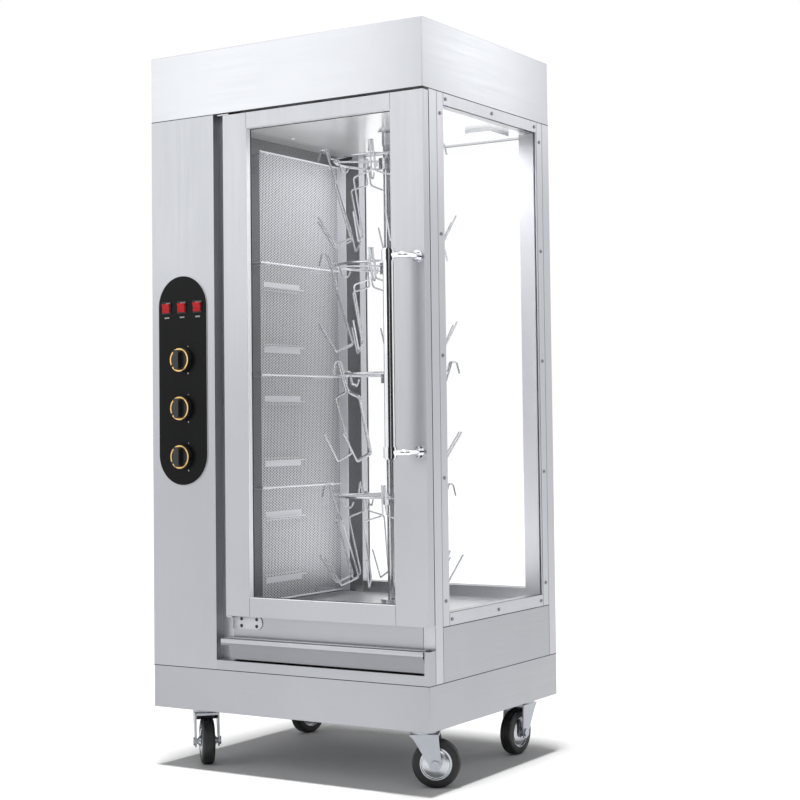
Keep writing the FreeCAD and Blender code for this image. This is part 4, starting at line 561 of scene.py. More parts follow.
@dataclass
class Finishes:
    """Every material of the object, by its name."""

    steels: tuple[Steel, ...] = (
        Steel("stainless", (0.410, 0.420, 0.444), 0.36),
        Steel("stainless_level", (0.385, 0.394, 0.417), 0.36, Grain.LEVEL),
        # Lighter tone than the other stainless: painted light, for the brighter light that falls on
        # the hood at the top of the cabinet.
        Steel("hood_steel_painted_light", (0.570, 0.583, 0.613), 0.38, Grain.LEVEL, 0.03),
        Steel("door_steel", (0.435, 0.445, 0.470), 0.36),
        Steel("lip_steel", (0.44, 0.45, 0.48), 0.36, Grain.LEVEL),
        # Darker tone than the lip above it: painted shade on the drip tray's front, which lies
        # recessed under the lip.
        Steel("tray_steel_painted_shade", (0.245, 0.252, 0.270), 0.34, Grain.LEVEL),
        Steel("stainless_frame", (0.480, 0.490, 0.520), 0.34),
        Steel("chamber_steel", (0.50, 0.51, 0.53), 0.18, Grain.LEVEL, 0.06),
        # Near-white tone with half the metal share: partly painted reflection on the chamber's
        # ceiling; its gloss and the fill lamp below add real light.
        Steel("ceiling_steel_painted_reflection", (0.93, 0.94, 0.95), 0.24, Grain.LEVEL, 0.02, 0.002, 0.5),
        Steel("floor_steel", (0.80, 0.81, 0.84), 0.34, Grain.LEVEL, 0.05, 0.01, 0.6),
        Steel("guard_steel", (0.61, 0.62, 0.65), 0.36, Grain.UPRIGHT, 0.03, 0.004, 0.6),
        Steel("wall_steel", (0.15, 0.153, 0.160), 0.34, Grain.LEVEL, 0.03, 0.004, 0.6),
        # Near-white steel for the thin sheets in the rear left corner and on the rear post: painted
        # reflection.
        Steel("corner_painted_reflection", (0.90, 0.905, 0.92), 0.14, Grain.UPRIGHT, 0.02, 0.003),
        # Lighter tone with a low metal share: painted light on the side jamb and the side pane's
        # bead, which lie in shade.
        Steel("jamb_painted_light", (0.47, 0.48, 0.51), 0.40, Grain.UPRIGHT, 0.03, 0.004, 0.40),
        # Light tone with a low metal share: painted light on the inner faces of the door's opening.
        Steel("reveal_painted_light", (0.62, 0.63, 0.66), 0.40, Grain.UPRIGHT, 0.03, 0.004, 0.30),
        Steel("burner_steel", (0.42, 0.42, 0.43), 0.45, Grain.PLAIN),
        Steel("gas_steel", (0.16, 0.16, 0.17), 0.45, Grain.PLAIN),
        Steel("feed_aluminium", (0.62, 0.63, 0.64), 0.32, Grain.PLAIN),
        Steel("brass", (0.60, 0.42, 0.16), 0.28, Grain.PLAIN),
        Steel("lamp_metal", (0.72, 0.73, 0.75), 0.35, Grain.PLAIN),
        Steel("zinc", (0.42, 0.44, 0.48), 0.38, Grain.PLAIN, 0.12, 0.03),
        Steel("rim_steel", (0.50, 0.52, 0.55), 0.24, Grain.PLAIN, 0.06),
        Steel("bezel", (0.36, 0.37, 0.38), 0.35, Grain.PLAIN, 0.04),
    )
    wires: tuple[Wire, ...] = (
        Wire("screw_steel", (0.26, 0.26, 0.28), 0.30),
        Wire("chrome", (0.84, 0.85, 0.88), 0.08),
        Wire("rack_steel", (0.62, 0.63, 0.66), 0.18),
        Wire("gold", (0.80, 0.52, 0.18), 0.22),
    )
    plastics: tuple[Moulded, ...] = (
        Moulded("black_plastic", (0.0070, 0.0072, 0.0078), 0.42),
        Moulded("ignition_plastic", (0.60, 0.60, 0.57), 0.5),
        Moulded("motor_paint", (0.035, 0.042, 0.05), 0.4, 300.0, 0.05),
        Moulded("fascia_black", (0.0060, 0.0062, 0.0068), 0.30, 500.0, 0.004, 0.1),
        Moulded("rubber_black", (0.014, 0.014, 0.014), 0.62),
        Moulded("castor_tyre", (0.010, 0.010, 0.011), 0.5, 600.0, 0.03),
        Moulded("print_white", (0.60, 0.60, 0.60), 0.5),
        Moulded("print_red", (0.55, 0.05, 0.03), 0.5),
        Moulded("seam_dark", (0.030, 0.031, 0.034), 0.7),
        Moulded("seam_grey", (0.150, 0.153, 0.160), 0.6),
        Moulded("socket_dark", (0.020, 0.020, 0.022), 0.5),
    )
    others: tuple[Finish, ...] = (
        Glass("window_glass", (0.98, 0.99, 0.99), 0.012),
        Lit("rocker_red", (0.44, 0.012, 0.018), 0.40, 0.10),
        Lit("lamp_glass", (0.85, 0.87, 0.88), 0.3, 0.25),
        Tile("ceramic", (0.155, 0.155, 0.158)),
    )
    made: dict[str, bpy.types.Material] = field(default_factory=dict)

    def build(self) -> "Finishes":
        """Makes every material."""
        for finish in (*self.steels, *self.wires, *self.plastics, *self.others):
            self.made[finish.name] = finish.build()
        return self

    def __getitem__(self, name: str) -> bpy.types.Material:
        """The material of that name."""
        return self.made[name]


@dataclass
class FrameDress:
    """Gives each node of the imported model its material."""

    finishes: Finishes
    wear: dict[str, tuple[str, ...]] = field(default_factory=lambda: {
        "stainless": ("column_front_panel", "left_side_panel", "rear_panels"),
        "door_steel": ("door_frame",),
        "hood_steel_painted_light": ("top_hood",),
        "tray_steel_painted_shade": ("tray_front",),
        "stainless_level": ("base_plinth", "lower_side_panel", "lower_front_panels"),
        "stainless_frame": ("cabinet_frame", "window_trims", "hinge_plates", "door_catches",
                            "tray_runners"),
        "chamber_steel": ("drip_tray",),
        "wall_steel": ("burner_wall",),
        "ceiling_steel_painted_reflection": ("cavity_ceiling",),
        "floor_steel": ("cavity_floor",),
        "guard_steel": ("guard_screen", "burner_brackets"),
        "burner_steel": ("burner_bodies",),
        "ceramic": ("burner_tiles",),
        "gas_steel": ("gas_manifold",),
        "brass": ("gas_valves", "gas_inlet"),
        "feed_aluminium": ("gas_tubes",),
        "screw_steel": ("panel_screws",),
        "black_plastic": ("cable_gland", "switch_housings", "knob_1", "knob_2", "knob_3"),
        "ignition_plastic": ("ignition_module",),
        "motor_paint": ("gear_motor",),
        "fascia_black": ("control_fascia",),
        "rocker_red": ("rocker_1", "rocker_2", "rocker_3"),
        "lamp_metal": ("lamp_housing",),
        "lamp_glass": ("lamp_cover",),
        "rubber_black": ("door_gasket",),
        "window_glass": ("door_glass", "side_window_glass", "rear_window_glass"),
        "chrome": ("handle_bar", "handle_brackets"),
        "rack_steel": ("spindle", "drive_coupling", "ring_racks", "meat_forks",
                       "spindle_bearings"),
        "zinc": ("castor_plates",),
    })

    def build(self) -> None:
        """Assigns the materials, and those of the castors' forks and wheels by their node names."""
        for finish, nodes in self.wear.items():
            for node in nodes:
                self.dress(node, finish)
        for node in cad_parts:
            if node.startswith("castor_fork"):
                self.dress(node, "zinc")
            if node.startswith("castor_wheel"):
                self.dress(node, "castor_tyre")

    def dress(self, node: str, finish: str) -> None:
        """Gives one node one material."""
        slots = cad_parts[node].data.materials
        slots.clear()
        slots.append(self.finishes[finish])
        log.info("node %s in %s", node, finish)


# Pieces

def joined(name: str, pieces: Sequence[Piece]) -> Piece:
    """Joins pieces into the first one, which takes the name."""
    whole = pieces[0].join(pieces[1:])
    whole.item.name = name
    return whole


@dataclass
class Part:
    """A group of new pieces."""

    finishes: Finishes


@dataclass
class OuterPart(Part):
    """A group of new pieces that are placed by the cabinet's outer faces and the fascia."""

    left: float = -360.0
    right: float = 360.0
    front: float = -259.25
    back: float = 290.75
    fascia_x: float = -272.0
    fascia_y: float = -261.75


@dataclass
class GuardScreen(Part):
    """The perforated screen between the burners and the food."""

    face_x: float = -149.5
    front: float = -137.75
    back: float = 169.25
    bottom: float = 357.0
    top: float = 1370.0
    sections: int = 4
    thickness: float = 0.5
    pitch: float = 6.25
    hole: float = 5.0
    bead: float = 2.0
    flange: float = 24.0
    post_inset: float = 30.0
    post_radius: float = 4.0
    wall_x: float = -206.5
    weld: float = 0.05
    bead_shift: float = 0.5
    flange_sheet: float = 1.0
    flange_shift: float = -0.5

    def build(self) -> None:
        """Makes the four perforated sections, their beads, the flange and the pins."""
        height = (self.top - self.bottom) / self.sections
        for number in range(self.sections):
            low = self.bottom + number * height
            self.section(f"guard_sheet_{number + 1}", low, low + height)
        self.edging()

    def cell(self, shift_y: float, shift_z: float) -> Piece:
        """One six-sided cell with its hole, facing the food."""
        centre = (self.face_x, self.front + shift_y, self.bottom + shift_z)
        cell = Piece.disc("cell", centre, self.pitch / math.sqrt(3), Axis.X, 6)
        cell.everything()
        bpy.ops.mesh.inset(thickness=(self.pitch - self.hole) / 2 * MM, depth=0)
        bpy.ops.mesh.delete(type="FACE")
        return cell

    def section(self, name: str, low: float, high: float) -> None:
        """One section of perforated sheet.

        Args:
            name: The piece's name.
            low: Its lower edge.
            high: Its upper edge.
        """
        step = self.pitch * math.sqrt(3)
        rise = low - self.bottom
        sheet = self.cell(0, rise).join([self.cell(step / 2, rise + self.pitch / 2)])
        sheet.item.name = name
        columns = math.ceil((self.back - self.front) / step) + 1
        rows = math.ceil((high - low) / self.pitch) + 1
        for count, shift in ((columns, (0, step, 0)), (rows, (0, 0, self.pitch))):
            sheet.modify("ARRAY", count=count, use_relative_offset=False,
                         use_constant_offset=True, constant_offset_displace=metres(shift),
                         use_merge_vertices=True, merge_threshold=self.weld * MM)
        cuts = (((0, self.front, 0), (0, -1, 0)), ((0, self.back, 0), (0, 1, 0)),
                ((0, 0, low), (0, 0, -1)), ((0, 0, high), (0, 0, 1)))
        for place, normal in cuts:
            sheet.everything()
            bpy.ops.mesh.bisect(plane_co=metres(place), plane_no=normal, clear_outer=True)
        sheet.modify("SOLIDIFY", thickness=self.thickness * MM, offset=0)
        sheet.finish("cabinet", "chamber_steel", self.finishes["guard_steel"])

    def edging(self) -> None:
        """The beads across the screen, its rear flange and its stand-off pins."""
        middle_y = (self.front + self.back) / 2
        bead_x = self.face_x + self.bead_shift
        flange_x = self.face_x + self.flange_shift
        parts = []
        for number in range(self.sections + 1):
            z = self.bottom + number * (self.top - self.bottom) / self.sections
            z = min(max(z, self.bottom + self.bead), self.top - self.bead)
            parts.append(Piece.rod("bead", (bead_x, middle_y, z), self.bead,
                                   self.back - self.front, Axis.Y, 12))
            reach = bead_x - self.wall_x
            z = min(max(z, self.bottom + self.post_radius), self.top - self.post_radius)
            for y in (self.front + self.post_inset, self.back - self.post_inset):
                parts.append(Piece.rod("pin", (self.wall_x + reach / 2, y, z), self.post_radius,
                                       reach, Axis.X, 16))
        flange = Piece.block("guard_edging", (flange_x, self.back, self.bottom),
                             (flange_x + self.flange, self.back + self.flange_sheet, self.top))
        flange.join(parts).smooth(50)
        flange.finish("cabinet", "chamber_steel", self.finishes["guard_steel"],
                      replaces=("guard_screen",))


@dataclass
class ControlMarks(OuterPart):
    """The gold rings on the knobs and the small marks on the fascia."""

    knob_heights: tuple[float, float, float] = (683.0, 790.0, 897.0)
    skirt_y: float = -273.55
    ring_outer: float = 25.6
    ring_inner: float = 22.6
    ring_rise: float = 0.35
    gaps: tuple[tuple[float, float], ...] = ((128.0, 9.0), (212.0, 7.0))
    mark_reach: float = 34.0
    print_rise: float = 0.15
    corner_share: float = 0.3
    prints: tuple[tuple[str, str, str, tuple[Point, ...]], ...] = (
        ("knob_marks_red", "rocker_red", "print_red", ((180.0, 3.6, 1.3),)),
        ("knob_marks_white", "fascia_black", "print_white", ((62.0, 2.2, 1.6), (298.0, 3.2, 2.2))),
    )

    def build(self) -> None:
        """Makes a ring for each knob and the marks round it."""
        first = self.ring("knob_ring_1", self.knob_heights[0])
        rings = [first]
        for number, height in enumerate(self.knob_heights[1:], 2):
            ring = first.copy(f"knob_ring_{number}")
            ring.move((0, 0, height - self.knob_heights[0]))
            rings.append(ring)
        for number, ring in enumerate(rings, 1):
            ring.finish(f"knob_{number}", "brass", self.finishes["gold"])
        self.marks()

    def ring(self, name: str, height: float) -> Piece:
        """One broken ring, raised a little from the knob's skirt.

        Args:
            name: The piece's name.
            height: The knob's middle.

        Returns:
            The new piece.
        """
        centre = (self.fascia_x, self.skirt_y, height)
        ring = Piece.disc(name, centre, self.ring_outer, Axis.Y, 72)
        ring.everything()
        bpy.ops.mesh.inset(thickness=(self.ring_outer - self.ring_inner) * MM, depth=0)
        bpy.ops.mesh.delete(type="FACE")

        def in_gap(place: Vector, _normal: Vector) -> bool:
            """Whether a face of the ring lies in one of its gaps."""
            angle = math.degrees(math.atan2(place.z - height, place.x - self.fascia_x)) % 360
            return any(abs(angle - middle) < half for middle, half in self.gaps)

        ring.pick(Kind.FACES, in_gap)
        bpy.ops.mesh.delete(type="FACE")
        ring.modify("SOLIDIFY", thickness=self.ring_rise * MM, offset=0)
        ring.outward()
        return ring.move((0, -self.ring_rise / 2, 0))

    def marks(self) -> None:
        """The red mark at the left of each knob, and the small white marks above and below."""
        for name, slot, finish, dashes in self.prints:
            marks = [self.dash(angle, height, length, width) for height in self.knob_heights
                     for angle, length, width in dashes]
            joined(name, marks).finish("cabinet", slot, self.finishes[finish])

    def dash(self, angle: float, height: float, length: float, width: float) -> Piece:
        """One printed dash that points at a knob.

        Args:
            angle: Its place round the knob, in degrees from the right.
            height: The knob's middle.
            length: Its length towards the knob.
            width: Its width.

        Returns:
            The new piece.
        """
        x, z = self.fascia_x + self.mark_reach, height
        dash = Piece.block("dash", (x - length / 2, self.fascia_y - self.print_rise, z - width / 2),
                           (x + length / 2, self.fascia_y, z + width / 2))
        dash.soften(width * self.corner_share)
        return dash.turn(-angle, (self.fascia_x, self.fascia_y, height), "Y")


@dataclass
class SeamLines(OuterPart):
    """The dark joints between the sheets, as thin strips that stand a hair proud."""

    proud: float = 0.15
    wide: float = 1.7
    narrow: float = 0.9
    level_joints: tuple[float, float] = (222.0, 1435.0)
    side_joints: tuple[tuple[Span, Span], ...] = (
        ((-204.25, -204.25), (222.0, 1435.0)), ((258.75, 258.75), (222.0, 1435.0)),
        ((-204.25, 258.75), (335.0, 335.0)), ((-234.25, -234.25), (222.0, 338.0)),
        ((-178.25, -178.25), (335.0, 361.0)), ((232.75, 232.75), (335.0, 361.0)),
        ((-178.25, -178.25), (1410.0, 1435.0)), ((232.75, 232.75), (1410.0, 1435.0)))
    back_joint: tuple[Span, Span] = ((-167.0, -167.0), (222.0, 1435.0))
    door_places: Span = (-92.0, 281.0)
    door_rises: tuple[Span, Span] = ((340.6, 380.0), (1396.0, 1429.4))

    def build(self) -> None:
        """Makes the joints of the cabinet and those of the door's frame."""
        strips = []
        for z in self.level_joints:
            strips += [self.strip((self.left, self.right), (z, z), face)
                       for face in (self.front, self.back)]
            strips += [self.strip((self.front, self.back), (z, z), face, True)
                       for face in (self.right, self.left)]
        strips += [self.strip(*joint, self.right, True) for joint in self.side_joints]
        strips.append(self.strip(*self.back_joint, self.back))
        joined("cabinet_seams", strips).finish("cabinet", "rubber_black",
                                               self.finishes["seam_dark"])
        door = [self.strip((x, x), rise, self.front)
                for x in self.door_places for rise in self.door_rises]
        joined("door_seams", door).finish("door", "rubber_black", self.finishes["seam_grey"])

    def strip(self, across: Span, rise: Span, face: float, on_side: bool = False) -> Piece:
        """One strip: a level one is wide, an upright one narrow.

        Args:
            across: Its ends along X, or along Y on a side.
            rise: Its ends along Z.
            face: Where the sheet's face lies.
            on_side: Whether it is on the cabinet's right or left side.

        Returns:
            The new piece.
        """
        grow, lift = (0.0, self.wide / 2) if rise[0] == rise[1] else (self.narrow / 2, 0.0)
        ends = ((across[0] - grow, face - self.proud, rise[0] - lift),
                (across[1] + grow, face + self.proud, rise[1] + lift))
        if on_side:
            ends = tuple((y, x, z) for x, y, z in ends)
        return Piece.block("seam", *ends)


@dataclass
class SheetEdges(OuterPart):
    """Copies of the big folded sheets, with the small radius of a fold at their corners."""

    fold: float = 1.6
    near: float = 0.2
    flat_degrees: float = 0.5
    sheets: tuple[tuple[str, str, str, float], ...] = (
        ("top_hood", "hood_folded", "hood_steel_painted_light", 1580.0),
        ("base_plinth", "plinth_folded", "stainless_level", 130.0),
    )

    def build(self) -> None:
        """Makes the hood and the plinth."""
        for node, name, finish, end in self.sheets:
            self.fold_sheet(node, name, finish, end)

    def fold_sheet(self, node: str, name: str, finish: str, end: float) -> None:
        """Copies one sheet and rounds its outer folds.

        Args:
            node: The node that is copied and replaced.
            name: The piece's name.
            finish: Its finish.
            end: The height of its closed end.
        """
        deselect()
        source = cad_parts[node]
        source.select_set(True)
        bpy.context.view_layer.objects.active = source
        bpy.ops.object.duplicate(linked=False)
        sheet = Piece(name).outward()
        sheet.everything()
        bpy.ops.mesh.dissolve_limited(angle_limit=math.radians(self.flat_degrees))

        def on_fold(place: Vector, along: Vector) -> bool:
            """Whether an edge is an outer corner or lies round the closed end."""
            at_x = min(abs(place.x - self.left), abs(place.x - self.right)) < self.near
            at_y = min(abs(place.y - self.front), abs(place.y - self.back)) < self.near
            upright = abs(along.z) > ALONG
            round_end = abs(place.z - end) < self.near
            return (at_x and at_y and upright) or (round_end and not upright and (at_x or at_y))

        sheet.pick(Kind.EDGES, on_fold)
        bpy.ops.mesh.bevel(offset=self.fold * MM, segments=3)
        sheet.smooth()
        sheet.finish("cabinet", "stainless", self.finishes[finish], replaces=(node,))


@dataclass
class CastorWheels(Part):
    """The castors' tyres, with three grooves in the tread, and their pressed rims."""

    side: float = 288.0
    front: float = -169.25
    rear: float = 250.75
    trail: float = 26.0
    radius: float = 50.0
    half: float = 14.0
    rim: float = 33.5
    shoulder: float = 6.0
    groove: float = 1.3
    groove_places: Point = (-6.0, 0.0, 6.0)
    near: float = 0.2
    rim_overlap: float = 1.0
    rim_inset: float = 1.5
    rim_steps: tuple[Span, ...] = (
        (0.8, 0.9), (1.9, 0.0), (0.8, -5.0), (2.0, 0.0), (0.8, 4.0), (3.0, 1.4),
        (6.0, 1.6), (6.5, 0.6), (0.6, 2.0), (3.0, 0.0), (0.5, 2.2))
    turns: dict[str, tuple[int, int, float]] = field(default_factory=lambda: {
        "front_left": (-1, -1, -45.0), "front_right": (1, -1, 26.0),
        "rear_left": (-1, 1, 263.0), "rear_right": (1, 1, 269.0)})

    def build(self) -> None:
        """Makes one tyre and one rim, and copies them to the four castors."""
        parts = (("castor_tyre", self.tyre(), "castor_tyre", "castor_tyre"),
                 ("castor_rim", self.pressed_rim(), "zinc", "rim_steel"))
        for name, first, slot, finish in parts:
            copies = [first] + [first.copy(name) for _ in range(len(self.turns) - 1)]
            for (corner, (side_x, side_y, angle)), piece in zip(self.turns.items(), copies):
                piece.item.name = f"{name}_{corner}"
                piece.item.data.name = piece.item.name
                piece.turn(angle, (0, 0, 0), "Z")
                piece.move((side_x * self.side, self.front if side_y < 0 else self.rear, 0))
                node = f"castor_wheel_{corner}"
                replaces = (node,) if name == "castor_tyre" else ()
                piece.finish(node, slot, self.finishes[finish], replaces=replaces)

    def away(self, place: Vector) -> float:
        """How far a place is from the axle."""
        return math.hypot(place.x - self.trail, place.z - self.radius)

    def tyre(self) -> Piece:
        """The rubber ring: round shoulders, a bore and a grooved tread."""
        tyre = Piece.rod("castor_tyre", (self.trail, 0, self.radius), self.radius,
                         2 * self.half, Axis.Y, 72)

        def at_shoulder(place: Vector, along: Vector) -> bool:
            """Whether an edge runs round the tread's side."""
            return abs(along.y) < ACROSS and abs(place.y) > self.half - self.near

        tyre.pick(Kind.EDGES, at_shoulder)
        bpy.ops.mesh.bevel(offset=self.shoulder * MM, segments=4)
        tyre.pick(Kind.FACES, lambda place, normal: abs(normal.y) > ALONG)
        wall = self.radius - self.shoulder - self.rim
        bpy.ops.mesh.inset(thickness=wall * MM, depth=0)
        bpy.ops.mesh.delete(type="FACE")

        def at_bore(place: Vector, along: Vector) -> bool:
            """Whether an edge is on one of the two open rims."""
            return self.away(place) < self.rim + self.rim_overlap and abs(along.y) < ACROSS

        tyre.pick(Kind.EDGES, at_bore)
        bpy.ops.mesh.bridge_edge_loops()
        for y in self.groove_places:
            for edge in (y - self.groove / 2, y + self.groove / 2):
                tyre.everything()
                bpy.ops.mesh.bisect(plane_co=metres((0, edge, 0)), plane_no=(0, 1, 0))

        def in_groove(place: Vector, _normal: Vector) -> bool:
            """Whether a face is in one of the tread's grooves."""
            near = any(abs(place.y - y) < self.groove / 2 for y in self.groove_places)
            return near and self.away(place) > self.radius - 2

        tyre.pick(Kind.FACES, in_groove)
        bpy.ops.mesh.extrude_region_shrink_fatten(
            TRANSFORM_OT_shrink_fatten={"value": -self.groove * MM})
        tyre.outward()
        return tyre.smooth()

    def pressed_rim(self) -> Piece:
        """The rim: a ring, a groove, a crowned disc and the hub."""
        rim = Piece.rod("castor_rim", (self.trail, 0, self.radius), self.rim + self.rim_overlap,
                        2 * (self.half - self.rim_inset), Axis.Y, 72)
        rim.pick(Kind.FACES, lambda place, normal: abs(normal.y) > ALONG)
        for thickness, depth in self.rim_steps:
            bpy.ops.mesh.inset(thickness=thickness * MM, depth=depth * MM)
        rim.outward()
        return rim.smooth(30)


@dataclass
class TrimScrews(OuterPart):
    """The domed screws of the window trims and the flat ones of the hinge plates."""

    radius: float = 3.9
    rise: float = 1.5
    hinge_y: float = -236.25
    side_bars_y: Span = (-191.25, 245.75)
    side_bars_z: Span = (387.0, 1390.0)
    side_rails_z: Span = (348.0, 1422.5)
    side_rails_y: Span = (-168.25, 222.75)
    back_bars_x: Span = (-157.0, 312.0)
    back_bars_z: Span = (397.0, 1390.0)
    back_rails_z: Span = (358.0, 1422.5)
    back_rails_x: Span = (-137.0, 292.0)
    per_bar: int = 5
    per_rail: int = 3
    sunk_share: float = 0.3
    head_steps: tuple[Span, ...] = ((0.7, 0.25), (1.1, 0.15), (1.0, 0.0), (0.15, -0.8))
    hinge_places: tuple[tuple[float, float], ...] = (
        (-132.0, 332.0), (-132.0, 317.0), (-91.0, 332.0), (-91.0, 317.0),
        (-164.0, 1388.0), (-164.0, 1403.0))

    def build(self) -> None:
        """Makes one screw for each way it faces, and copies it."""
        side = [(self.right, y, z) for y in self.side_bars_y
                for z in spread(*self.side_bars_z, self.per_bar)]
        side += [(self.right, y, z) for z in self.side_rails_z
                 for y in spread(*self.side_rails_y, self.per_rail)]
        back = [(x, self.back, z) for x in self.back_bars_x
                for z in spread(*self.back_bars_z, self.per_bar)]
        back += [(x, self.back, z) for z in self.back_rails_z
                 for x in spread(*self.back_rails_x, self.per_rail)]
        hinge = [(x, self.hinge_y, z) for x, z in self.hinge_places]
        heads = self.row(side, 90) + self.row(back, 180)
        joined("trim_screw_heads", heads).finish("cabinet", "screw_steel",
                                                 self.finishes["screw_steel"],
                                                 replaces=("panel_screws",))
        sunk = self.row(hinge, 0, self.sunk_share)
        joined("hinge_screw_heads", sunk).finish("cabinet", "screw_steel",
                                                 self.finishes["socket_dark"])

    def row(self, places: Sequence[Point], angle: float, flat: float = 1.0) -> list[Piece]:
        """Copies of one screw head that all face one way.

        Args:
            places: Where the heads sit.
            angle: The way they face, in degrees from the front.
            flat: How much of the dome's height stands out.

        Returns:
            The heads.
        """
        first = self.head(flat).turn(angle, (0, 0, 0), "Z")
        heads = [first] + [first.copy("head") for _ in places[1:]]
        for head, place in zip(heads, places):
            head.move(place)
        return heads

    def head(self, flat: float) -> Piece:
        """One head at the origin, facing the front, with its cross recess."""
        rise = self.rise * flat
        head = Piece.rod("head", (0, -rise / 2, 0), self.radius, rise, Axis.Y, 20)
        head.pick(Kind.FACES, lambda place, normal: normal.y < -ALONG)
        for thickness, depth in self.head_steps:
            bpy.ops.mesh.inset(thickness=thickness * MM, depth=depth * flat * MM)
        head.outward()
        return head.smooth(50)


@dataclass
class HingePlates(Part):
    """The two hinge plates with their leaves and pins."""

    door_left: float = -156.0
    pivot: Span = (-149.0, -248.0)
    pin_radius: float = 4.0
    sheet: float = 2.0
    leaf: float = 3.0
    plate_y: float = -236.25
    leaf_front: float = -258.0
    lower_top: float = 339.5
    lower_height: float = 30.0
    lower_right: float = -76.0
    upper_bottom: float = 1430.5
    upper_drop: float = 50.0
    upper_left: float = -172.0
    reach: float = 9.5
    edge: float = 0.35
    hair: float = 0.1

    def build(self) -> None:
        """Makes both hinges as one piece."""
        right = self.pivot[0] + 2 * self.pin_radius
        low = self.lower_top - self.lower_height
        back = self.plate_y + self.sheet
        plate = Piece.block("hinge_plates_formed", (self.door_left, self.plate_y, low),
                            (self.lower_right, back, self.lower_top))
        plate.pick(Kind.EDGES, lambda place, along: abs(along.y) > ALONG
                   and place.x > self.lower_right - self.hair)
        bpy.ops.mesh.bevel(offset=(self.lower_height - self.hair) / 2 * MM, segments=12)
        plate.outward()
        parts = [
            Piece.block("leaf", (self.door_left, self.leaf_front, self.lower_top - self.leaf),
                        (right, back, self.lower_top)),
            Piece.block("plate", (self.upper_left, self.plate_y,
                                  self.upper_bottom - self.upper_drop),
                        (self.door_left - self.hair, back, self.upper_bottom + self.leaf)),
            Piece.block("leaf", (self.upper_left, self.leaf_front, self.upper_bottom),
                        (right, back, self.upper_bottom + self.leaf)),
            self.pin(self.lower_top), self.pin(self.upper_bottom - self.reach),
        ]
        plate.join(parts).soften(self.edge, 2)
        plate.finish("cabinet", "stainless_frame", self.finishes["stainless_frame"],
                     replaces=("hinge_plates",))

    def pin(self, low: float) -> Piece:
        """One pin that stands in the door's end."""
        return Piece.rod("pin", (*self.pivot, low + self.reach / 2), self.pin_radius,
                         self.reach, Axis.Z, 24)


@dataclass
class DoorReveal(Part):
    """The inner faces of the door's opening, in front of its glazing strip, in a light satin tone
    that paints light on them.
    """

    left: float = -92.0
    right: float = 281.0
    bottom: float = 380.0
    top: float = 1396.0
    front: float = -258.9
    back: float = -244.9
    sheet: float = 0.35

    def build(self) -> None:
        """Makes the lining as one folded frame."""
        lining = Piece.block("door_reveal", (self.left, self.front, self.bottom),
                             (self.right, self.back, self.top))
        lining.pick(Kind.FACES, lambda place, normal: abs(normal.y) > ALONG)
        bpy.ops.mesh.inset(thickness=self.sheet * MM, depth=0)
        bpy.ops.mesh.delete(type="FACE")

        def at_hole(place: Vector, along: Vector) -> bool:
            """Whether an edge is round one of the two open ends."""
            inside_x = self.left + self.sheet / 2 < place.x < self.right - self.sheet / 2
            inside_z = self.bottom + self.sheet / 2 < place.z < self.top - self.sheet / 2
            return inside_x and inside_z and abs(along.y) < ACROSS

        lining.pick(Kind.EDGES, at_hole)
        bpy.ops.mesh.bridge_edge_loops()
        lining.outward()
        lining.finish("door", "stainless", self.finishes["reveal_painted_light"])


@dataclass
class BrightSheets(Part):
    """Thin sheets over inner faces that paint light: a painted reflection on the rear left corner
    and the rear post, and painted light on the side jamb.
    """

    sheets: tuple[tuple[str, Point, Point, str, str, float, int], ...] = (
        ("rear_corner_sheet", (-204.4, 280.4, 346.0), (-167.4, 281.2, 1409.4),
         "stainless", "corner_painted_reflection", 0.2, 1),
        ("rear_post_sheet", (-166.8, 257.9, 346.0), (-147.2, 258.6, 1409.4),
         "stainless_frame", "corner_painted_reflection", 0.2, 1),
        ("side_jamb_sheet", (314.5, 231.9, 362.0), (351.4, 232.5, 1409.0),
         "stainless_frame", "jamb_painted_light", 0.2, 1),
        ("side_glazing_bead", (357.7, 227.6, 361.4), (359.4, 232.6, 1409.6),
         "stainless_frame", "jamb_painted_light", 0.5, 2),
    )

    def build(self) -> None:
        """Makes the three sheets and the bead at the side pane's rear edge."""
        for name, low, high, slot, finish, edge, segments in self.sheets:
            sheet = Piece.block(name, low, high).soften(edge, segments)
            sheet.finish("cabinet", slot, self.finishes[finish])


@dataclass
class DoorGasket(Part):
    """The door's glazing strips in front of and behind its pane, and its back seal."""

    opening: tuple[float, float, float, float] = (-92.0, 281.0, 380.0, 1396.0)
    cover: float = 11.0
    before: Span = (-244.75, -243.25)
    behind: Span = (-238.25, -236.75)
    seal: Span = (-236.75, -234.65)
    sight: float = 1.7
    drawn_back: float = 6.0
    seal_inner: float = 18.0
    seal_width: float = 10.0

    def build(self) -> None:
        """Makes the three frames as one piece."""
        front = self.ring("door_glazing_strips", -self.sight, self.cover, self.before)
        front.join([self.ring("strip", self.drawn_back, self.cover, self.behind),
                    self.ring("seal", self.seal_inner, self.seal_inner + self.seal_width,
                              self.seal)])
        front.soften(0.3, 2)
        front.finish("door", "rubber_black", self.finishes["rubber_black"],
                     replaces=("door_gasket",))

    def ring(self, name: str, inner: float, outer: float, depth: Span) -> Piece:
        """One upright frame round the opening.

        Args:
            name: The piece's name.
            inner: How far outside the opening its inner edge lies.
            outer: How far outside the opening its outer edge lies.
            depth: Its front and its back.

        Returns:
            The new piece.
        """
        left, right, low, high = self.opening
        front, back = depth
        spans = ((left - outer, right + outer, low - outer, low - inner),
                 (left - outer, right + outer, high + inner, high + outer),
                 (left - outer, left - inner, low - inner, high + inner),
                 (right + inner, right + outer, low - inner, high + inner))
        return joined(name, [Piece.block(name, (x0, front, z0), (x1, back, z1))
                             for x0, x1, z0, z1 in spans])


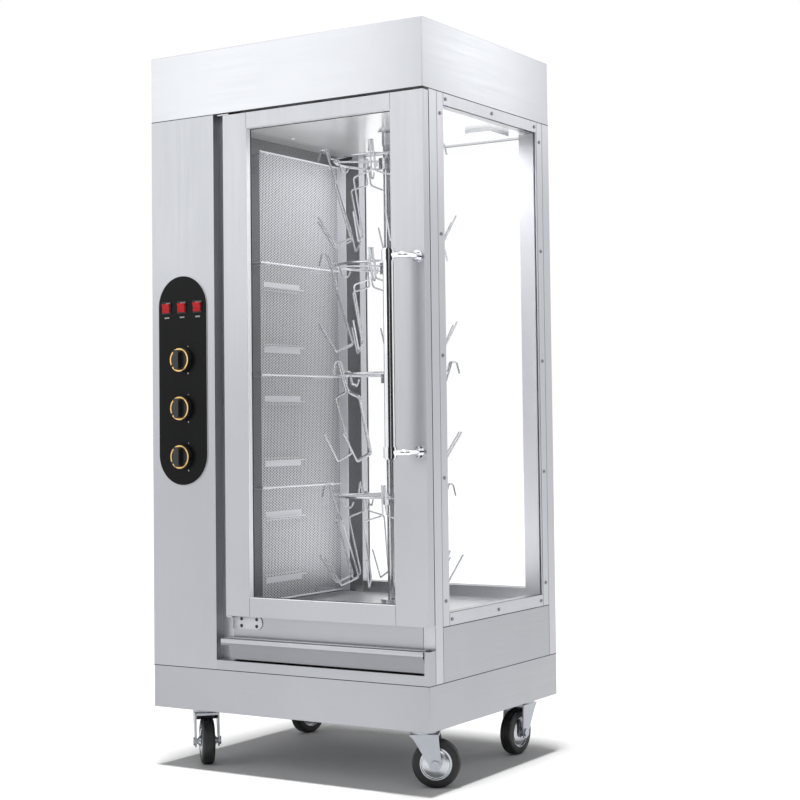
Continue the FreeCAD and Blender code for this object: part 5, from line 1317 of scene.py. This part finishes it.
@dataclass
class TrayLip(Part):
    """The bright folded lip along the top of the drip tray's front, and the strip above it."""

    left: float = -169.4
    right: float = 346.9
    front: float = -262.7
    back: float = -241.0
    bottom: float = 281.0
    top: float = 290.3
    strip: tuple[float, float, float, float] = (-254.0, -238.0, 290.8, 293.4)
    strip_inset: float = 12.0

    def build(self) -> None:
        """Makes the lip's fold and the flange under the panel above it."""
        lip = Piece.block("tray_lip_fold", (self.left, self.front, self.bottom),
                          (self.right, self.back, self.top))
        lip.soften(1.2, 3)
        lip.finish("drawer", "stainless", self.finishes["lip_steel"])
        front, back, low, high = self.strip
        flange = Piece.block("under_door_flange", (self.left + self.strip_inset, front, low),
                             (self.right, back, high))
        flange.soften(0.8, 2)
        flange.finish("cabinet", "stainless", self.finishes["stainless_level"])


@dataclass
class FasciaTrim(OuterPart):
    """The bright edge round the control fascia and the small marks under the switches."""

    half_width: float = 69.2
    bottom: float = 618.8
    top: float = 1085.2
    rise: float = 1.0
    hair: float = 0.05
    switches: Point = (-316.0, -272.0, -228.0)
    label_z: float = 992.0
    label_half: float = 1.5
    label_rise: float = 0.12
    stroke: float = 0.9
    letters: tuple[Span, ...] = ((-4.6, 3.4), (-0.4, 3.4), (4.2, 4.0))

    def build(self) -> None:
        """Makes the edge and the marks."""
        edge = Piece.block("fascia_edge",
                           (self.fascia_x - self.half_width, self.front - self.rise, self.bottom),
                           (self.fascia_x + self.half_width, self.front, self.top))
        edge.pick(Kind.EDGES, lambda place, along: abs(along.y) > ALONG)
        bpy.ops.mesh.bevel(offset=(self.half_width - self.hair) * MM, segments=24)
        edge.outward().soften(0.4)
        edge.finish("cabinet", "lamp_metal", self.finishes["bezel"])
        marks = [self.mark(x + shift, width)
                 for x in self.switches for shift, width in self.letters]
        joined("switch_marks", marks).finish("cabinet", "fascia_black",
                                             self.finishes["print_white"])

    def mark(self, x: float, width: float) -> Piece:
        """One printed mark, with an open middle."""
        mark = Piece.block("mark", (x - width / 2, self.fascia_y - self.label_rise,
                                    self.label_z - self.label_half),
                           (x + width / 2, self.fascia_y, self.label_z + self.label_half))
        mark.pick(Kind.FACES, lambda place, normal: normal.y < -ALONG)
        bpy.ops.mesh.inset(thickness=self.stroke * MM, depth=0)
        bpy.ops.mesh.delete(type="FACE")
        return mark


def spread(low: float, high: float, count: int) -> list[float]:
    """Evenly spaced numbers from one to another."""
    return [low + (high - low) * number / (count - 1) for number in range(count)]


# Room, lamps and camera

@dataclass
class Room:
    """The pale floor, the lamps, the chamber's fill lamps, the dark cards and the world."""

    floor_size: float = 40.0
    floor_tone: Colour = (0.71, 0.71, 0.71)
    card_tone: Colour = (0.02, 0.02, 0.02)
    cloth_roughness: float = 0.9
    world_level: float = 0.26
    sun_strength: float = 4.2
    sun_spread: float = 8.0
    sun_lean: Point = (4.0, 1.0, 0.0)
    sun_place: Point = (0.0, 0.0, 4.0)
    lamps: tuple[tuple[str, Point, float, float], ...] = (
        ("front_left", (-2.65, -3.55, 2.8), 3.6, 34.0),
        ("back_right", (2.6, 3.4, 2.9), 1.8, 11.0),
        ("front_right", (3.2, -2.8, 3.0), 1.8, 14.0),
        ("back_left", (-3.2, 2.8, 3.0), 1.8, 8.0),
    )
    chamber_fills: tuple[tuple[str, Point, float, float, float], ...] = (
        ("chamber_fill_above", (0.12, 0.03, 1.395), 0.28, 7.0, 0.0),
        ("chamber_fill_below", (0.10, 0.03, 0.372), 0.28, 4.0, math.pi),
    )
    aim: Point = (0.0, 0.0, 0.8)
    flag_radius: float = 4.6
    flag_height: float = 2.2
    flag_spans: tuple[Span, ...] = ((-92.0, -47.0), (-40.0, 12.0))

    def build(self) -> None:
        """Makes all of them."""
        self.floor()
        self.world()
        self.noon()
        self.flags()
        self.chamber_fill()
        for name, place, size, power in self.lamps:
            aim = (Vector(self.aim) - Vector(place)).to_track_quat("-Z", "Y")
            self.lamp(name, place, aim.to_euler(), size, power)

    def floor(self) -> None:
        """A flat pale floor that is white to the camera where no shadow falls."""
        deselect()
        bpy.ops.mesh.primitive_plane_add(size=self.floor_size, location=(0, 0, 0))
        floor = bpy.context.object
        floor.name = "floor"
        shade = Shade("floor_paper", self.floor_tone, self.cloth_roughness)
        shade.vary_tone(shade.noise((0.5, 0.5, 0.5)), 0.01)
        floor.data.materials.append(shade.material)

    def world(self) -> None:
        """White to camera, glossy and transmitted rays, and an even lower level to others."""
        world = bpy.data.worlds.new("studio")
        bpy.context.scene.world = world
        world.use_nodes = True
        nodes, links = world.node_tree.nodes, world.node_tree.links
        background = nodes["Background"]
        background.inputs["Color"].default_value = (1, 1, 1, 1)
        path = nodes.new("ShaderNodeLightPath")
        seen = path.outputs["Is Camera Ray"]
        for ray in ("Is Glossy Ray", "Is Transmission Ray"):
            either = nodes.new("ShaderNodeMath")
            either.operation = "MAXIMUM"
            links.new(seen, either.inputs[0])
            links.new(path.outputs[ray], either.inputs[1])
            seen = either.outputs[0]
        level = nodes.new("ShaderNodeMapRange")
        level.inputs["To Min"].default_value = self.world_level
        level.inputs["To Max"].default_value = 1.0
        links.new(seen, level.inputs["Value"])
        links.new(level.outputs["Result"], background.inputs["Strength"])

    def flags(self) -> None:
        """Dark cards low behind the viewer, which only glossy rays see."""
        deselect()
        bpy.ops.mesh.primitive_cylinder_add(vertices=180, radius=self.flag_radius,
                                            depth=self.flag_height, end_fill_type="NOTHING",
                                            location=(0, 0, self.flag_height / 2))
        flags = Piece("dark_cards")

        def outside(place: Vector, _normal: Vector) -> bool:
            """Whether a face lies outside the cards' spans."""
            angle = math.degrees(math.atan2(place.y, place.x))
            return not any(low < angle < high for low, high in self.flag_spans)

        flags.pick(Kind.FACES, outside)
        bpy.ops.mesh.delete(type="FACE")
        deselect()
        card = flags.item
        shade = Shade("card_cloth", self.card_tone, self.cloth_roughness)
        shade.vary_tone(shade.noise((3.0, 3.0, 3.0)), 0.1)
        card.data.materials.append(shade.material)
        for ray in ("camera", "diffuse", "transmission", "volume_scatter", "shadow"):
            setattr(card, f"visible_{ray}", False)

    def chamber_fill(self) -> None:
        """Two soft fill lamps in the chamber, which are not its built lamp."""
        for name, place, size, power, turn in self.chamber_fills:
            glow = self.lamp(name, place, (turn, 0, 0), size, power)
            glow.visible_camera = False
            glow.visible_glossy = False

    def noon(self) -> None:
        """A broad lamp almost straight above, which lays the shadow back a little."""
        deselect()
        lean = [math.radians(angle) for angle in self.sun_lean]
        bpy.ops.object.light_add(type="SUN", location=self.sun_place, rotation=lean)
        sun = bpy.context.object
        sun.name = "overhead"
        sun.data.energy = self.sun_strength
        sun.data.angle = math.radians(self.sun_spread)

    def lamp(self, name: str, place: Point, turn: Sequence[float], size: float,
             power: float) -> bpy.types.Object:
        """A square lamp.

        Args:
            name: Its name.
            place: Where it stands, in metres.
            turn: Its turn from facing down.
            size: Its side, in metres.
            power: Its power, in watts.

        Returns:
            The lamp.
        """
        deselect()
        bpy.ops.object.light_add(type="AREA", location=place, rotation=turn)
        lamp = bpy.context.object
        lamp.name = name
        lamp.data.size = size
        lamp.data.energy = power
        return lamp


@dataclass
class Viewpoint:
    """The camera at the photograph's viewing angle."""

    azimuth: float = 0.546082
    pitch: float = 0.0444733
    roll: float = -0.0129124
    place: Point = (2.1223, -3.10285, 0.7441)
    lens: float = 74.67
    shift: Span = (-0.05, -0.06)
    sensor: float = 36.0
    far: float = 100.0

    def build(self) -> None:
        """Makes the camera and sets it as the scene's."""
        forward = Vector((-math.sin(self.azimuth) * math.cos(self.pitch),
                          math.cos(self.azimuth) * math.cos(self.pitch), math.sin(self.pitch)))
        right = forward.cross(Vector((0, 0, 1))).normalized()
        up = right.cross(forward)
        cos, sin = math.cos(self.roll), math.sin(self.roll)
        across, upward = right * cos + up * sin, up * cos - right * sin
        deselect()
        bpy.ops.object.camera_add()
        camera = bpy.context.object
        axes = Matrix((across, upward, -forward)).transposed().to_4x4()
        camera.matrix_world = Matrix.Translation(Vector(self.place)) @ axes
        camera.data.lens = self.lens
        camera.data.sensor_width = self.sensor
        camera.data.shift_x, camera.data.shift_y = self.shift
        camera.data.clip_end = self.far
        bpy.context.scene.camera = camera


def main() -> None:
    """Builds the scene in order."""
    logging.basicConfig(level=logging.INFO, format="%(message)s")
    bpy.context.scene.view_settings.view_transform = "Standard"
    finishes = Finishes().build()
    FrameDress(finishes).build()
    for part in (GuardScreen, SheetEdges, SeamLines, TrimScrews, HingePlates, DoorReveal,
                 DoorGasket, BrightSheets, TrayLip, FasciaTrim, ControlMarks, CastorWheels):
        part(finishes).build()
    Room().build()
    Viewpoint().build()


if __name__ == "__main__":
    main()
